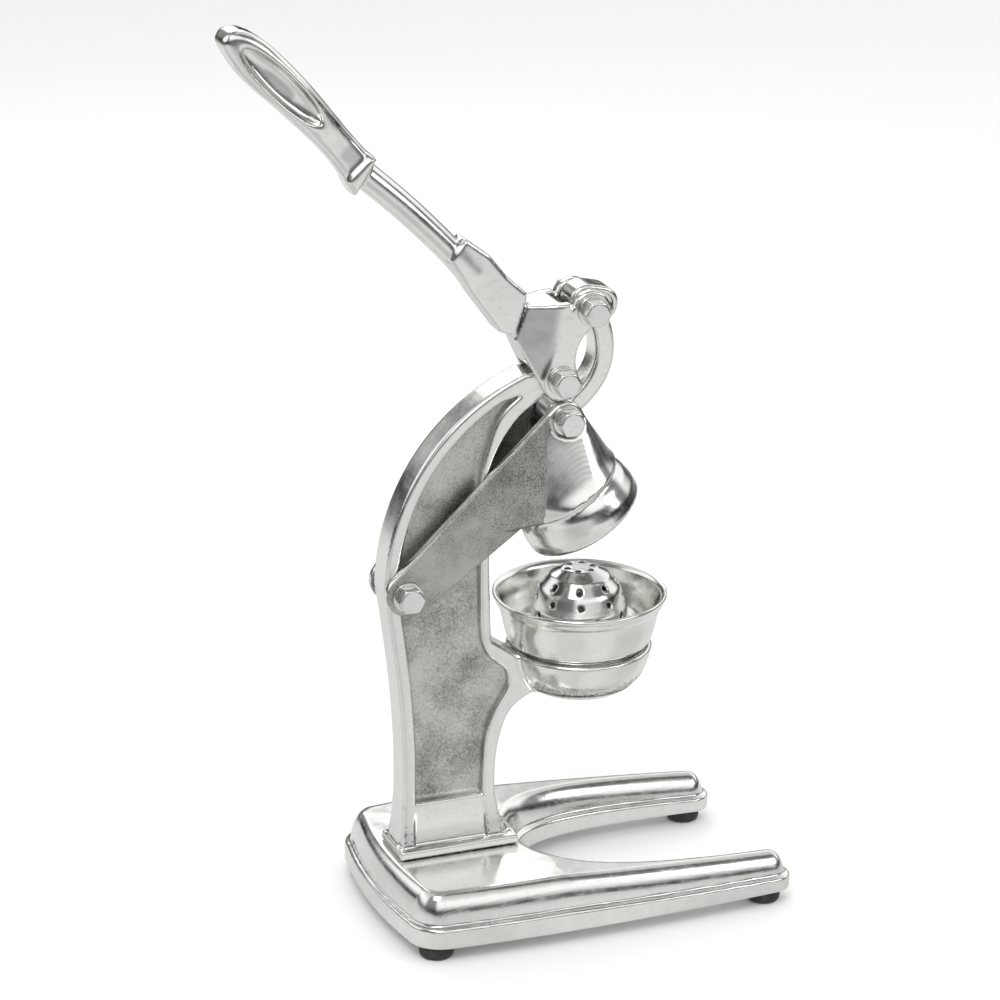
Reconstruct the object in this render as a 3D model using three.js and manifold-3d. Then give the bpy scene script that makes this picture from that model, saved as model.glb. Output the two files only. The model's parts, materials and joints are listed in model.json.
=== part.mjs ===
// Hand-lever citrus press: a horseshoe base, a C-shaped frame with a cup holder, a press arm with a bell,
// a curved drive link, a lever, a loose juice cup with its strainer, and the fasteners between them.
// Millimetres, +Z up, +X towards the cup. The side of every casting is drawn in X and Z.
import * as THREE from 'three';
import { mergeVertices } from 'three/addons/utils/BufferGeometryUtils.js';
import { ConvexGeometry } from 'three/addons/geometries/ConvexGeometry.js';
import Module from 'manifold-3d';

const wasm = await Module();
wasm.setup();

// ---- clearances
const seatGap = 0.3; // between pieces that touch or are screwed together
const boltClear = 0.3; // radial, round every shank
const runClear = 0.4; // beside every face that slides past another
const sweepClear = 1.2; // round a boss that another piece turns about

// ---- base
const baseRear = -68;
const baseFront = 170;
const baseHalfWidth = 75;
const legTipRadius = 12.5;
const baseCorner = 20;
const rearBulge = 4.5; // how far the middle of the rear stands out
const notchRear = 29;
const notchHalfWidth = 46;
const skirtFoot = 7.5; // underside of the skirt above the table
const skirtTop = 21;
const skirtWall = 4;
const baseTop = 38.5;
const ledge = 4.5;
const roundSteps = 3;
const ridgeRound = 5.8;
const roofThick = 7;
const hollowLength = 36; // half sizes of the hollow under the column
const hollowWidth = 44;
const tipLowering = 0.3; // share of the height above the skirt foot that the leg tips lose

// ---- feet
const footRadius = 10;
const footInset = 13;
const footScrewRadius = 2;
const footScrewHead = 3.8;
const footScrewLength = 15;
const footBossRadius = 6.5;
const footHoleTop = 16.6;

// ---- frame
const columnRear = -50;
const columnFront = 4;
const footPlateRear = -54;
const footPlateFront = 18;
const footPlateHalfWidth = 17;
const footPlateThick = 5.5;
const frameHalf = 10;
const webHalf = 4;
const flange = 7.5;
const arcRadius = 127;
const bossRadius = 12;

// ---- pivots, each as [x, z] with the lever raised
const armPivot = [-50, 200.5];
const leverPivot = [41, 316];
const linkTopPivot = [58, 355];
const linkLowPivot = [44, 293];

// ---- motion, in degrees: how far the lever turns, and how far it takes the arm
const leverTurn = 96;
const armRatio = 0.3354;

// ---- pivot bolts
const boltRadius = 4;
const hexAcross = 13.5;
const boltHeadHeight = 7.5;
const nutHeight = 6.8;
const boltTail = 2.4;
const washerRadius = 8.6;
const washerThick = 1.6;
const spotFace = 0.9; // how far the flat seats run past the washers

// ---- press arm
const cheekThick = 6;
const armHalfWidth = 12;
const linkEyeRadius = 9.5;

// ---- bell on the arm
const bellRadius = 35;
const bellWall = 3.4;
const bellHeight = 46;
const bellStraight = 22;
const bellMouthZ = 165; // with the lever pulled down

// ---- drive link
const linkHalf = 8.5;
const linkBandHalf = 5.6;
const linkBulge = 34;
const slotAcross = 8.6; // travel of the top bolt across the link, which the fixed ratios ask for
const slotAlong = 4.4; // and along it
const slotWall = 3.6;

// ---- lever
const leverEyeRadius = 11;
const shaftRadius = 7.4;
const bladeHalf = 8;
const gripHalf = 10.5;
const dishDepth = 6;

// ---- cup and its holder
const cupX = 60;
const cupRimZ = 184;
const cupRimRadius = 50;
const cupWall = 2.6;
const cupStepZ = 154.5;
const cupStepRadius = 41.3;
const cupSpigotRadius = 37.4;
const cupFloorZ = 134;
const cupOutletRadius = 8;
const holderTopZ = 153.6;
const holderFloorZ = 126;
const holderHoleRadius = 17;

// ---- strainer
const domeRadius = 27.8;
const domeTopZ = 198;
const strainerFlangeZ = 157;
const strainerWall = 1.2;
const strainerHoleRadius = 1.4;

// ---- fixing of the column
const columnBoltRadius = 3;
const columnBoltHex = 10;
const columnBoltHead = 4;
const columnBoltDepth = 11; // into the frame's foot
const columnWasherRadius = 6.5;
const columnWasherThick = 1.4;
const columnBossRadius = 9;
const columnBossDrop = 14; // underside of the bosses below the top of the base

// ---- worked out
const armTurn = THREE.MathUtils.degToRad(leverTurn * armRatio);
const cheekIn = frameHalf + runClear;
const cheekOut = cheekIn + cheekThick;
const columnBoltX = [footPlateRear + 16, footPlateFront - 16];
const holderRadius = cupStepRadius + 0.7;
const footCentres = [
  [baseRear + baseCorner, baseHalfWidth - footInset - 3],
  [baseFront - legTipRadius - 3, (baseHalfWidth - 5 + notchHalfWidth) / 2],
];

// ---- solids
function solid(geometry) {
  const bare = geometry.index ? geometry.toNonIndexed() : geometry.clone();
  for (const name of Object.keys(bare.attributes)) if (name !== 'position') bare.deleteAttribute(name);
  const merged = mergeVertices(bare, 1e-4);
  return new wasm.Manifold(new wasm.Mesh({
    numProp: 3,
    vertProperties: new Float32Array(merged.attributes.position.array),
    triVerts: new Uint32Array(merged.index.array),
  }));
}

function geometryOf(manifold) {
  const raw = manifold.getMesh();
  const geometry = new THREE.BufferGeometry();
  geometry.setAttribute('position', new THREE.BufferAttribute(new Float32Array(raw.vertProperties), 3));
  geometry.setIndex(new THREE.BufferAttribute(new Uint32Array(raw.triVerts), 1));
  const sharp = geometry.toNonIndexed();
  sharp.computeVertexNormals();
  return sharp;
}

const points2 = (list) => list.map(([x, y]) => new THREE.Vector2(x, y));
const spline = (list, steps) => new THREE.SplineCurve(points2(list)).getPoints(steps);
const outline = (points) => new THREE.Shape(points);

function circle([x, z], radius, steps = 24) {
  return Array.from({ length: steps }, (_, i) => {
    const t = (i / steps) * Math.PI * 2;
    return new THREE.Vector2(x + radius * Math.cos(t), z + radius * Math.sin(t));
  });
}

// the outline round a set of points, such as a tangent bar between two bosses
function hullOf(points) {
  const sorted = [...points].sort((p, q) => p.x - q.x || p.y - q.y);
  const half = (list) => {
    const chain = [];
    for (const p of list) {
      while (chain.length > 1) {
        const [o, a] = chain.slice(-2);
        if ((a.x - o.x) * (p.y - o.y) - (a.y - o.y) * (p.x - o.x) > 1e-9) break;
        chain.pop();
      }
      chain.push(p);
    }
    return chain.slice(0, -1);
  };
  return [...half(sorted), ...half(sorted.reverse())];
}

// drops points that repeat the last one or lie on the straight line between their neighbours
function tidy(points) {
  const apart = points.filter((p, i) => p.distanceTo(points[(i + 1) % points.length]) > 0.05);
  return apart.filter((p, i) => {
    const before = apart[(i - 1 + apart.length) % apart.length];
    const after = apart[(i + 1) % apart.length];
    const turn = (p.x - before.x) * (after.y - p.y) - (p.y - before.y) * (after.x - p.x);
    return Math.abs(turn) > 1e-3;
  });
}

// a solid through outlines of equal length, one above the other
function loft(layers) {
  const count = layers[0].points.length;
  const position = layers.flatMap(({ points, z }) => points.flatMap((p) => [p.x, p.y, z]));
  const index = [];
  for (let k = 0; k < layers.length - 1; k++) {
    for (let i = 0; i < count; i++) {
      const a = k * count + i;
      const b = k * count + ((i + 1) % count);
      index.push(a, b, b + count, a, b + count, a + count);
    }
  }
  const last = (layers.length - 1) * count;
  for (const [p, q, r] of THREE.ShapeUtils.triangulateShape(layers[0].points, [])) index.push(p, r, q);
  for (const [p, q, r] of THREE.ShapeUtils.triangulateShape(layers.at(-1).points, [])) {
    index.push(last + p, last + q, last + r);
  }
  const geometry = new THREE.BufferGeometry();
  geometry.setAttribute('position', new THREE.Float32BufferAttribute(position, 3));
  geometry.setIndex(index);
  return geometry;
}

// an outline in X and Y, made solid between two Z values
function slab(points, zLow, zHigh) {
  const drawn = tidy(points);
  const round = THREE.ShapeUtils.isClockWise(drawn) ? drawn.reverse() : drawn;
  return solid(loft([{ points: round, z: zLow }, { points: round, z: zHigh }]));
}

// an outline in X and Z, made solid between two Y values
function plate(points, yLow, yHigh) {
  const turn = new THREE.Matrix4().makeRotationX(Math.PI / 2);
  return slab(points, -yHigh, -yLow).transform(turn.elements);
}

function box(xLow, xHigh, yLow, yHigh, zLow, zHigh) {
  const geometry = new THREE.BoxGeometry(xHigh - xLow, yHigh - yLow, zHigh - zLow);
  geometry.translate((xLow + xHigh) / 2, (yLow + yHigh) / 2, (zLow + zHigh) / 2);
  return solid(geometry);
}

// a round bar along Y
function pinY([x, z], radius, yLow, yHigh, steps = 20) {
  const geometry = new THREE.CylinderGeometry(radius, radius, yHigh - yLow, steps);
  geometry.translate(x, (yLow + yHigh) / 2, z);
  return solid(geometry);
}

// a round bar along Z
function pinZ([x, y], radius, zLow, zHigh, steps = 20) {
  const geometry = new THREE.CylinderGeometry(radius, radius, zHigh - zLow, steps);
  geometry.rotateX(Math.PI / 2);
  geometry.translate(x, y, (zLow + zHigh) / 2);
  return solid(geometry);
}

// a [radius, z] profile turned about the upright line at x, y
function turned(profile, [x, y], steps = 32) {
  const geometry = new THREE.LatheGeometry(points2(profile), steps);
  geometry.rotateX(Math.PI / 2);
  geometry.translate(x, y, 0);
  return solidFacingOut(geometry);
}

// turns a lathe's faces outwards where its profile ran the other way
function solidFacingOut(geometry) {
  const body = solid(geometry);
  if (body.volume() > 0) return body;
  const index = geometry.index.array;
  for (let i = 0; i < index.length; i += 3) [index[i], index[i + 1]] = [index[i + 1], index[i]];
  return solid(geometry);
}

// turns a geometry or a point about a line along Y
const turnAbout = (item, [x, z], angle) => {
  const matrix = new THREE.Matrix4().makeTranslation(x, 0, z)
    .multiply(new THREE.Matrix4().makeRotationY(angle))
    .multiply(new THREE.Matrix4().makeTranslation(-x, 0, -z));
  return item.applyMatrix4(matrix);
};

// ---- materials
const metal = (name, color, roughness) => {
  const material = new THREE.MeshStandardMaterial({ color, roughness, metalness: 1 });
  material.name = name;
  return material;
};
const polished = () => metal('polished_aluminium', 0xd6d7d8, 0.12);
const cast = () => metal('cast_aluminium', 0xb4b4b0, 0.4);
const plated = () => metal('plated_steel', 0xcfd1d3, 0.18);
const stainless = () => metal('stainless_steel', 0xc6c7c8, 0.2);
const rubber = () => new THREE.MeshStandardMaterial({ color: 0x16161a, roughness: 0.8, metalness: 0 });

const citrusPress = new THREE.Group();
function add(name, manifold, material) {
  const mesh = new THREE.Mesh(geometryOf(manifold), material);
  mesh.name = name;
  citrusPress.add(mesh);
}

// ---- base
// the horseshoe seen from above, drawn in by a margin
function horseshoe(margin) {
  const sideY = baseHalfWidth - 3;
  const tipY = (baseHalfWidth - 5 + notchHalfWidth) / 2;
  const tipX = baseFront - legTipRadius;
  const arcPoints = (x, y, radius, from, to, steps) => Array.from({ length: steps }, (_, i) => {
    const t = THREE.MathUtils.degToRad(from + ((to - from) * (i + 0.5)) / steps);
    return new THREE.Vector2(x + radius * Math.cos(t), y + radius * Math.sin(t));
  });
  const cornerX = baseRear + rearBulge + baseCorner;
  const side = new THREE.QuadraticBezierCurve(new THREE.Vector2(cornerX, sideY),
    new THREE.Vector2(40, baseHalfWidth + 3.5), new THREE.Vector2(tipX, tipY + legTipRadius));
  const inner = new THREE.CubicBezierCurve(new THREE.Vector2(tipX, tipY - legTipRadius),
    new THREE.Vector2(notchRear + 31, notchHalfWidth + 6), new THREE.Vector2(notchRear, notchHalfWidth - 6),
    new THREE.Vector2(notchRear, 0));
  const half = [
    new THREE.Vector2(baseRear, 0),
    ...[0.35, 0.7, 0.95].map((t) => new THREE.Vector2(
      baseRear + rearBulge * t * t, t * (sideY - baseCorner))),
    ...arcPoints(cornerX, sideY - baseCorner, baseCorner, 180, 90, 5),
    ...side.getPoints(6).slice(1, -1),
    ...arcPoints(tipX, tipY, legTipRadius, 90, -90, 7),
    ...inner.getPoints(10).slice(1),
  ];
  const mirrored = half.slice(1, -1).reverse().map((p) => new THREE.Vector2(p.x, -p.y));
  return drawIn([...half, ...mirrored].reverse(), margin);
}

// moves every point of a closed outline, listed anticlockwise, inwards by a margin
function drawIn(points, margin) {
  const count = points.length;
  return points.map((p, i) => {
    const along = points[(i + 1) % count].clone().sub(points[(i - 1 + count) % count]).normalize();
    return new THREE.Vector2(p.x - along.y * margin, p.y + along.x * margin);
  });
}

// lowers the top towards the leg tips
function lowerTips(geometry) {
  const position = geometry.attributes.position;
  for (let i = 0; i < position.count; i++) {
    const share = THREE.MathUtils.clamp((position.getX(i) - notchRear) / (baseFront - notchRear), 0, 1);
    const height = position.getZ(i) - skirtFoot;
    position.setZ(i, skirtFoot + height * (1 - tipLowering * share));
  }
  return geometry;
}

// a layer of the base; a rounding draws its top edge in along a quarter circle
function baseLayer(margin, zLow, zHigh, round = 0) {
  const layers = [{ points: horseshoe(margin), z: zLow }, { points: horseshoe(margin), z: zHigh - round }];
  for (let i = 1; round > 0 && i <= roundSteps; i++) {
    const t = (i / roundSteps) * (Math.PI / 2);
    layers.push({
      points: horseshoe(margin + ridgeRound * (1 - Math.cos(t))),
      z: zHigh - round * (1 - Math.sin(t)),
    });
  }
  return solid(lowerTips(loft(layers)));
}

function makeBase() {
  const skirt = baseLayer(0, skirtFoot, skirtTop);
  const dome = baseLayer(ledge, skirtTop - 4, baseTop, baseTop - skirtTop - 1);
  const hollow = baseLayer(skirtWall, skirtFoot - 4, skirtTop - 3.5);
  const hollowOutline = new THREE.EllipseCurve((baseRear + notchRear) / 2, 0, hollowLength, hollowWidth);
  const upperHollow = slab(hollowOutline.getPoints(28).slice(0, -1), skirtFoot, baseTop - roofThick);
  let body = skirt.add(dome).subtract(hollow).subtract(upperHollow);
  for (const [x, y] of footCentres) {
    for (const side of [-1, 1]) {
      const at = [x, y * side];
      body = body.add(pinZ(at, footBossRadius, skirtFoot, skirtTop - 3));
      body = body.subtract(pinZ(at, footScrewRadius + boltClear, skirtFoot - 1, footHoleTop, 12));
    }
  }
  for (const x of columnBoltX) {
    body = body.add(pinZ([x, 0], columnBossRadius, baseTop - columnBossDrop, baseTop - roofThick + 1));
    body = body.subtract(pinZ([x, 0], columnBoltRadius + boltClear, skirtFoot - 1, baseTop + 2, 14));
  }
  add('base_casting', body, polished());
}

function makeFeet() {
  const names = ['rear', 'front'];
  const top = skirtFoot - seatGap;
  footCentres.forEach(([x, y], i) => {
    for (const side of [-1, 1]) {
      const at = [x, y * side];
      const where = `${names[i]}_${side < 0 ? 'right' : 'left'}`;
      const hole = footScrewRadius + boltClear;
      add(`foot_${where}`, turned([
        [hole, 2.6], [footScrewHead + boltClear, 2.6], [footScrewHead + boltClear, 0],
        [footRadius - 1.6, 0], [footRadius - 0.6, 0.8], [footRadius, 3], [footRadius - 0.4, top - 0.8],
        [footRadius - 1.2, top], [hole, top], [hole, 2.6],
      ], at, 16), rubber());
      const head = turned([
        [0, 0.5], [footScrewHead - 1, 0.5], [footScrewHead, 1.2], [footScrewHead, 2.3],
        [footScrewRadius, 2.3], [footScrewRadius, footScrewLength - 1],
        [footScrewRadius - 1, footScrewLength], [0, footScrewLength],
      ], at, 10);
      const slot = box(x - 5, x + 5, y * side - 0.5, y * side + 0.5, 0, 1.3);
      add(`foot_screw_${where}`, head.subtract(slot), plated());
    }
  });
}

function makeColumnBolts() {
  const underside = baseTop - columnBossDrop;
  ['rear', 'front'].forEach((where, i) => {
    const x = columnBoltX[i];
    const washerTop = underside - seatGap;
    const washerLow = washerTop - columnWasherThick;
    add(`column_washer_${where}`, pinZ([x, 0], columnWasherRadius, washerLow, washerTop)
      .subtract(pinZ([x, 0], columnBoltRadius + boltClear, washerLow - 1, washerTop + 1, 14)), plated());
    const headTop = washerLow - seatGap;
    const head = pinZ([x, 0], columnBoltHex / Math.sqrt(3), headTop - columnBoltHead, headTop, 6);
    const shank = pinZ([x, 0], columnBoltRadius, headTop - 1, baseTop + seatGap + columnBoltDepth - 1, 14);
    add(`column_bolt_${where}`, head.add(shank), plated());
  });
}

// ---- frame
const arcCentre = [armPivot[0] + arcRadius - 10.5, armPivot[1] + 0.5];
const arcSpan = THREE.MathUtils.degToRad(69.6);
const arcSteps = 16;

// the round back of the frame, drawn in by a margin
function frameArc(margin) {
  const [cx, cz] = arcCentre;
  const radius = arcRadius - margin;
  return Array.from({ length: arcSteps + 1 }, (_, i) => {
    const t = Math.PI - (i / arcSteps) * arcSpan;
    return new THREE.Vector2(cx + radius * Math.cos(t), cz + radius * Math.sin(t));
  });
}

function makeFrame() {
  const foot = baseTop + seatGap;
  const plateTop = foot + footPlateThick;
  const rear = spline([
    [footPlateRear + 0.4, plateTop - 1], [columnRear - 1.2, plateTop + 6], [columnRear, plateTop + 18],
    [columnRear + 0.2, 100], [columnRear - 3, 145], [arcCentre[0] - arcRadius, arcCentre[1]],
  ], 12);
  const front = spline([
    [leverPivot[0] - 9, leverPivot[1] - 11], [leverPivot[0] - 23, leverPivot[1] - 21],
    [leverPivot[0] - 34, leverPivot[1] - 36], [columnFront - 3, leverPivot[1] - 54],
    [columnFront - 3, 235], [columnFront - 2, 190], [columnFront - 1, 164],
  ], 16);
  const neckTop = [[columnFront + 6, 159], [cupX - holderRadius + 8, 148]];
  const under = spline([
    [cupX - holderRadius + 14, holderFloorZ + 5], [columnFront + 12, 121], [columnFront + 5, 106],
    [columnFront + 2, 88], [columnFront + 2, plateTop + 24], [columnFront + 6, plateTop + 8],
    [footPlateFront - 0.4, plateTop - 1],
  ], 16);
  const side = [...rear, ...frameArc(0).slice(1), new THREE.Vector2(leverPivot[0], leverPivot[1] + 4),
    ...front, ...points2(neckTop), ...under];
  let body = plate(side, -frameHalf, frameHalf).add(
    pinY(leverPivot, bossRadius, -frameHalf, frameHalf, 28));

  const pocketRear = spline([
    [columnRear + flange, plateTop + 26], [columnRear + flange, 100], [columnRear + flange - 3, 145],
    [arcCentre[0] - arcRadius + flange, arcCentre[1]],
  ], 8);
  const pocketArc = frameArc(flange).slice(1, -2);
  const pocketFront = spline([
    [leverPivot[0] - 22, leverPivot[1] - 8], [leverPivot[0] - 34, leverPivot[1] - 19],
    [columnFront - 4, leverPivot[1] - 37], [columnFront - 8.5, 255], [columnFront - 8, 200],
    [columnFront - 7, 167], [columnFront - 2, 154],
  ], 14);
  const pocketNeck = spline([
    [columnFront + 8, 145], [columnFront + 9, 136], [columnFront + 1, 122], [columnFront - 4, 106],
    [columnFront - 5.5, 88], [columnFront - 6, plateTop + 26],
  ], 10);
  const pocket = [...pocketRear, ...pocketArc, ...pocketFront, ...pocketNeck];
  const rearBoss = pinY(armPivot, bossRadius, -frameHalf, frameHalf, 28);
  for (const sideY of [-1, 1]) {
    const low = sideY < 0 ? -frameHalf - 1 : webHalf;
    body = body.subtract(plate(pocket, low, low + frameHalf - webHalf + 1));
  }
  body = body.add(rearBoss.intersect(plate(side, -frameHalf, frameHalf)));

  const footHull = new ConvexGeometry([
    [footPlateRear, footPlateHalfWidth, foot], [footPlateFront, footPlateHalfWidth, foot],
    [footPlateRear, footPlateHalfWidth, plateTop - 1], [footPlateFront, footPlateHalfWidth, plateTop - 1],
    [footPlateRear + 1, footPlateHalfWidth - 1, plateTop],
    [footPlateFront - 1, footPlateHalfWidth - 1, plateTop],
  ].flatMap(([x, y, z]) => [new THREE.Vector3(x, y, z), new THREE.Vector3(x, -y, z)]));
  body = body.add(solid(footHull));
  const flare = new ConvexGeometry([
    [columnRear + 2, webHalf, plateTop + 25], [columnFront - 2, webHalf, plateTop + 25],
    [columnRear + 1, frameHalf + 3, plateTop - 0.5], [columnFront, frameHalf + 3, plateTop - 0.5],
    [columnRear + 1, frameHalf + 2.4, plateTop + 2], [columnFront, frameHalf + 2.4, plateTop + 2],
  ].flatMap(([x, y, z]) => [new THREE.Vector3(x, y, z), new THREE.Vector3(x, -y, z)]));
  body = body.add(solid(flare));

  const bowl = turned([
    [0, holderFloorZ], [holderRadius * 0.55, holderFloorZ], [holderRadius * 0.74, holderFloorZ + 3],
    [holderRadius * 0.88, holderFloorZ + 10], [holderRadius * 0.97, holderFloorZ + 20],
    [holderRadius, holderTopZ - 1], [holderRadius - 1, holderTopZ], [0, holderTopZ],
  ], [cupX, 0]);
  const neck = plate(points2([
    [columnFront - 2, 157], [cupX - holderRadius + 8, 148], [cupX - holderRadius + 22, holderFloorZ + 2],
    [columnFront + 14, holderFloorZ + 3], [columnFront + 5, 118], [columnFront - 2, 124],
  ]), -webHalf, webHalf);
  const seatRadius = cupSpigotRadius + 0.6;
  const seat = turned([
    [0, cupFloorZ - seatGap - cupWall], [seatRadius - 5, cupFloorZ - seatGap - cupWall],
    [seatRadius - 1, cupFloorZ + 5], [seatRadius, holderTopZ + 1], [0, holderTopZ + 1],
  ], [cupX, 0]);
  body = body.add(bowl).add(neck).subtract(seat);
  body = body.subtract(pinZ([cupX, 0], holderHoleRadius, holderFloorZ - 5, holderFloorZ + 20, 24));

  for (const pivot of [armPivot, leverPivot]) {
    body = body.subtract(pinY(pivot, boltRadius + boltClear, -30, 30));
  }
  for (const x of columnBoltX) {
    body = body.subtract(pinZ([x, 0], columnBoltRadius + boltClear, foot - 1, foot + columnBoltDepth, 14));
  }
  add('frame_casting', body, cast());
}

// ---- press arm with its bell
function makeArm() {
  const [ax, az] = armPivot;
  const mouth = [cupX, bellMouthZ];
  const raise = (geometry) => turnAbout(geometry, armPivot, -armTurn);
  const raisedPoint = (x, z) => {
    const p = turnAbout(new THREE.Vector3(x, 0, z), armPivot, -armTurn);
    return new THREE.Vector2(p.x, p.z);
  };
  const lowPivotDown = turnAbout(new THREE.Vector3(linkLowPivot[0], 0, linkLowPivot[1]), armPivot, armTurn);
  const eye = [lowPivotDown.x, lowPivotDown.z];
  const ringAt = (z) => circle([mouth[0], 0], bellRadius, 32).map((p) => new THREE.Vector3(p.x, p.y, z));
  const yoke = circle(eye, linkEyeRadius + 1, 18).filter((p) => p.y > eye[1] - 2);
  const block = new ConvexGeometry([
    ...ringAt(mouth[1] + 12), ...ringAt(mouth[1] + bellStraight),
    ...yoke.flatMap((p) => [new THREE.Vector3(p.x, cheekOut, p.y), new THREE.Vector3(p.x, -cheekOut, p.y)]),
    ...[[mouth[0] - 47, mouth[1] + 31], [mouth[0] - 50, mouth[1] + 52]].flatMap(([x, z]) => [
      new THREE.Vector3(x, cheekOut, z), new THREE.Vector3(x, -cheekOut, z)]),
  ]);
  const bell = new THREE.LatheGeometry(points2([
    [0, mouth[1]], [bellRadius - 1, mouth[1]], [bellRadius, mouth[1] + 1],
    [bellRadius, mouth[1] + bellStraight], [0, mouth[1] + bellStraight],
  ]), 32);
  bell.rotateX(Math.PI / 2);
  bell.translate(mouth[0], 0, 0);
  const cavityRadius = bellRadius - bellWall;
  const cavityTop = mouth[1] + bellHeight - 8;
  const cavity = new THREE.LatheGeometry(points2([
    [0, mouth[1] - 2], [cavityRadius, mouth[1] - 2], [cavityRadius, mouth[1] + 8],
    [cavityRadius * 0.95, mouth[1] + 18], [cavityRadius * 0.8, mouth[1] + 27],
    [cavityRadius * 0.55, cavityTop - 4], [cavityRadius * 0.25, cavityTop], [0, cavityTop],
  ]), 32);
  cavity.rotateX(Math.PI / 2);
  cavity.translate(mouth[0], 0, 0);

  const bar = hullOf([
    ...circle(armPivot, armHalfWidth, 28), ...circle(linkLowPivot, linkEyeRadius + 1, 24),
    new THREE.Vector2(ax + 14, az - 8), new THREE.Vector2(ax + 55, az + 30.5),
    raisedPoint(mouth[0] - 30, mouth[1] + 26),
  ]);
  let body = plate(bar, -cheekOut, cheekOut);
  body = body.add(solidFacingOut(raise(block))).add(solidFacingOut(raise(bell)));
  const roof = mouth[1] + bellHeight;
  const gap = [
    [mouth[0] - bellRadius - 3, mouth[1] - 40], [mouth[0] - bellRadius - 3, roof - 8],
    [mouth[0] - bellRadius + 5, roof], [mouth[0] + bellRadius + 20, roof],
    [mouth[0] + bellRadius + 20, roof + 120], [ax - 60, roof + 120], [ax - 60, mouth[1] - 40],
  ].map(([x, z]) => raisedPoint(x, z));
  body = body.subtract(plate(gap.reverse(), -cheekIn, cheekIn));
  body = body.subtract(solidFacingOut(raise(cavity)));
  for (const [low, high] of [[cheekOut, bellRadius + 5], [-bellRadius - 5, -cheekOut]]) {
    body = body.subtract(pinY(linkLowPivot, washerRadius + spotFace, low, high)); // the washer's flat seat
  }
  for (const pivot of [armPivot, linkLowPivot]) {
    body = body.subtract(pinY(pivot, boltRadius + boltClear, -30, 30));
  }
  add('press_arm', body, cast());
}

// ---- drive link: its low eye turns on the arm, and its top eye is a wide slot round the lever's bolt
function makeLink() {
  const low = new THREE.Vector2(...linkLowPivot);
  const top = new THREE.Vector2(...linkTopPivot);
  const up = top.clone().sub(low).normalize();
  const across = new THREE.Vector2(up.y, -up.x);
  const middle = low.clone().add(top).multiplyScalar(0.5).addScaledVector(across, linkBulge);
  const end = top.clone().addScaledVector(across, slotAcross / 2);
  const spine = new THREE.QuadraticBezierCurve(low, middle, end);
  const steps = 10;
  const edges = [1, -1].map((side) => Array.from({ length: steps + 1 }, (_, i) => {
    const along = spine.getTangent(i / steps);
    const outward = new THREE.Vector2(-along.y, along.x).multiplyScalar(side * linkBandHalf);
    return spine.getPoint(i / steps).add(outward);
  }));
  const band = [...edges[1], ...edges[0].reverse()];
  const slotLow = top.clone().addScaledVector(up, slotAlong / 2);
  const slotEnds = [slotLow, slotLow.clone().addScaledVector(across, slotAcross)];
  const slotRadius = boltRadius + boltClear + slotAlong / 2;
  const stadium = (radius) => hullOf(slotEnds.flatMap((p) => circle([p.x, p.y], radius, 20)));
  let body = plate(band, -linkHalf, linkHalf).add(pinY(linkLowPivot, linkEyeRadius, -linkHalf, linkHalf));
  body = body.add(plate(stadium(slotRadius + slotWall), -linkHalf, linkHalf));
  body = body.subtract(plate(stadium(slotRadius), -linkHalf - 1, linkHalf + 1));
  body = body.subtract(pinY(linkLowPivot, boltRadius + boltClear, -30, 30));
  add('drive_link', body, polished());
}

// ---- lever
const gripUnder = [[-77, 432], [-95, 457], [-115, 477], [-129, 490], [-139, 501], [-146, 512]];
const gripTip = [[-146, 512], [-148, 518], [-144, 523], [-138, 524], [-131, 521.5]];
const gripOver = [[-131, 521.5], [-122, 515], [-108, 501], [-95, 486], [-80, 467], [-65, 449]];
const shaftLine = [[-71, 441], [-48, 421], [-24, 397], [-8, 379]];

function makeLever() {
  const [bx, bz] = leverPivot;
  const [ax, az] = linkTopPivot;
  const low = circle(leverPivot, leverEyeRadius + 0.5, 24);
  const bar = hullOf([...circle(linkTopPivot, leverEyeRadius, 24), ...low]);
  const head = hullOf([...low, ...points2([[bx - 20, bz + 50], [bx - 2, bz + 42], [bx - 25.5, bz + 27]])]);
  let body = plate(bar, -cheekOut, cheekOut).add(plate(head, -cheekOut, cheekOut));
  const blade = points2([
    [bx - 22, bz + 50], [bx - 39, bz + 73], [bx - 56, bz + 84], [bx - 64, bz + 70], [bx - 50, bz + 50],
    [bx - 34, bz + 27], [bx - 20, bz + 24],
  ]).reverse();
  body = body.add(plate(blade, -bladeHalf, bladeHalf));
  const gap = hullOf([...circle(leverPivot, bossRadius + sweepClear + 5), ...circle(linkTopPivot, 17),
    ...points2([[ax + 34, az + 8], [ax + 30, bz - 20], [bx - 6, bz - 22], [ax + 2, az + 30]])]);
  body = body.subtract(plate(gap, -cheekIn, cheekIn));

  const spine = new THREE.CatmullRomCurve3(shaftLine.map(([x, z]) => new THREE.Vector3(x, 0, z)));
  const round = new THREE.Shape(circle([0, 0], shaftRadius, 16));
  body = body.add(solid(new THREE.ExtrudeGeometry(round, { extrudePath: spine, steps: 8 })));
  const grip = [...spline(gripUnder, 12), ...spline(gripTip, 8).slice(1), ...spline(gripOver, 12).slice(1)];
  body = body.add(plate(grip, -gripHalf, gripHalf));

  const along = new THREE.Vector2(-1, 1.02).normalize();
  const dishMiddle = [-119, 495.5];
  for (const side of [-1, 1]) {
    const dish = new THREE.SphereGeometry(1, 24, 10);
    dish.scale(34, dishDepth, 6.6);
    dish.rotateY(-Math.atan2(along.y, along.x));
    dish.translate(dishMiddle[0], side * gripHalf, dishMiddle[1]);
    body = body.subtract(solid(dish));
  }
  for (const pivot of [leverPivot, linkTopPivot]) {
    body = body.subtract(pinY(pivot, boltRadius + boltClear, -30, 30));
  }
  add('lever', body, polished());
}

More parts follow.
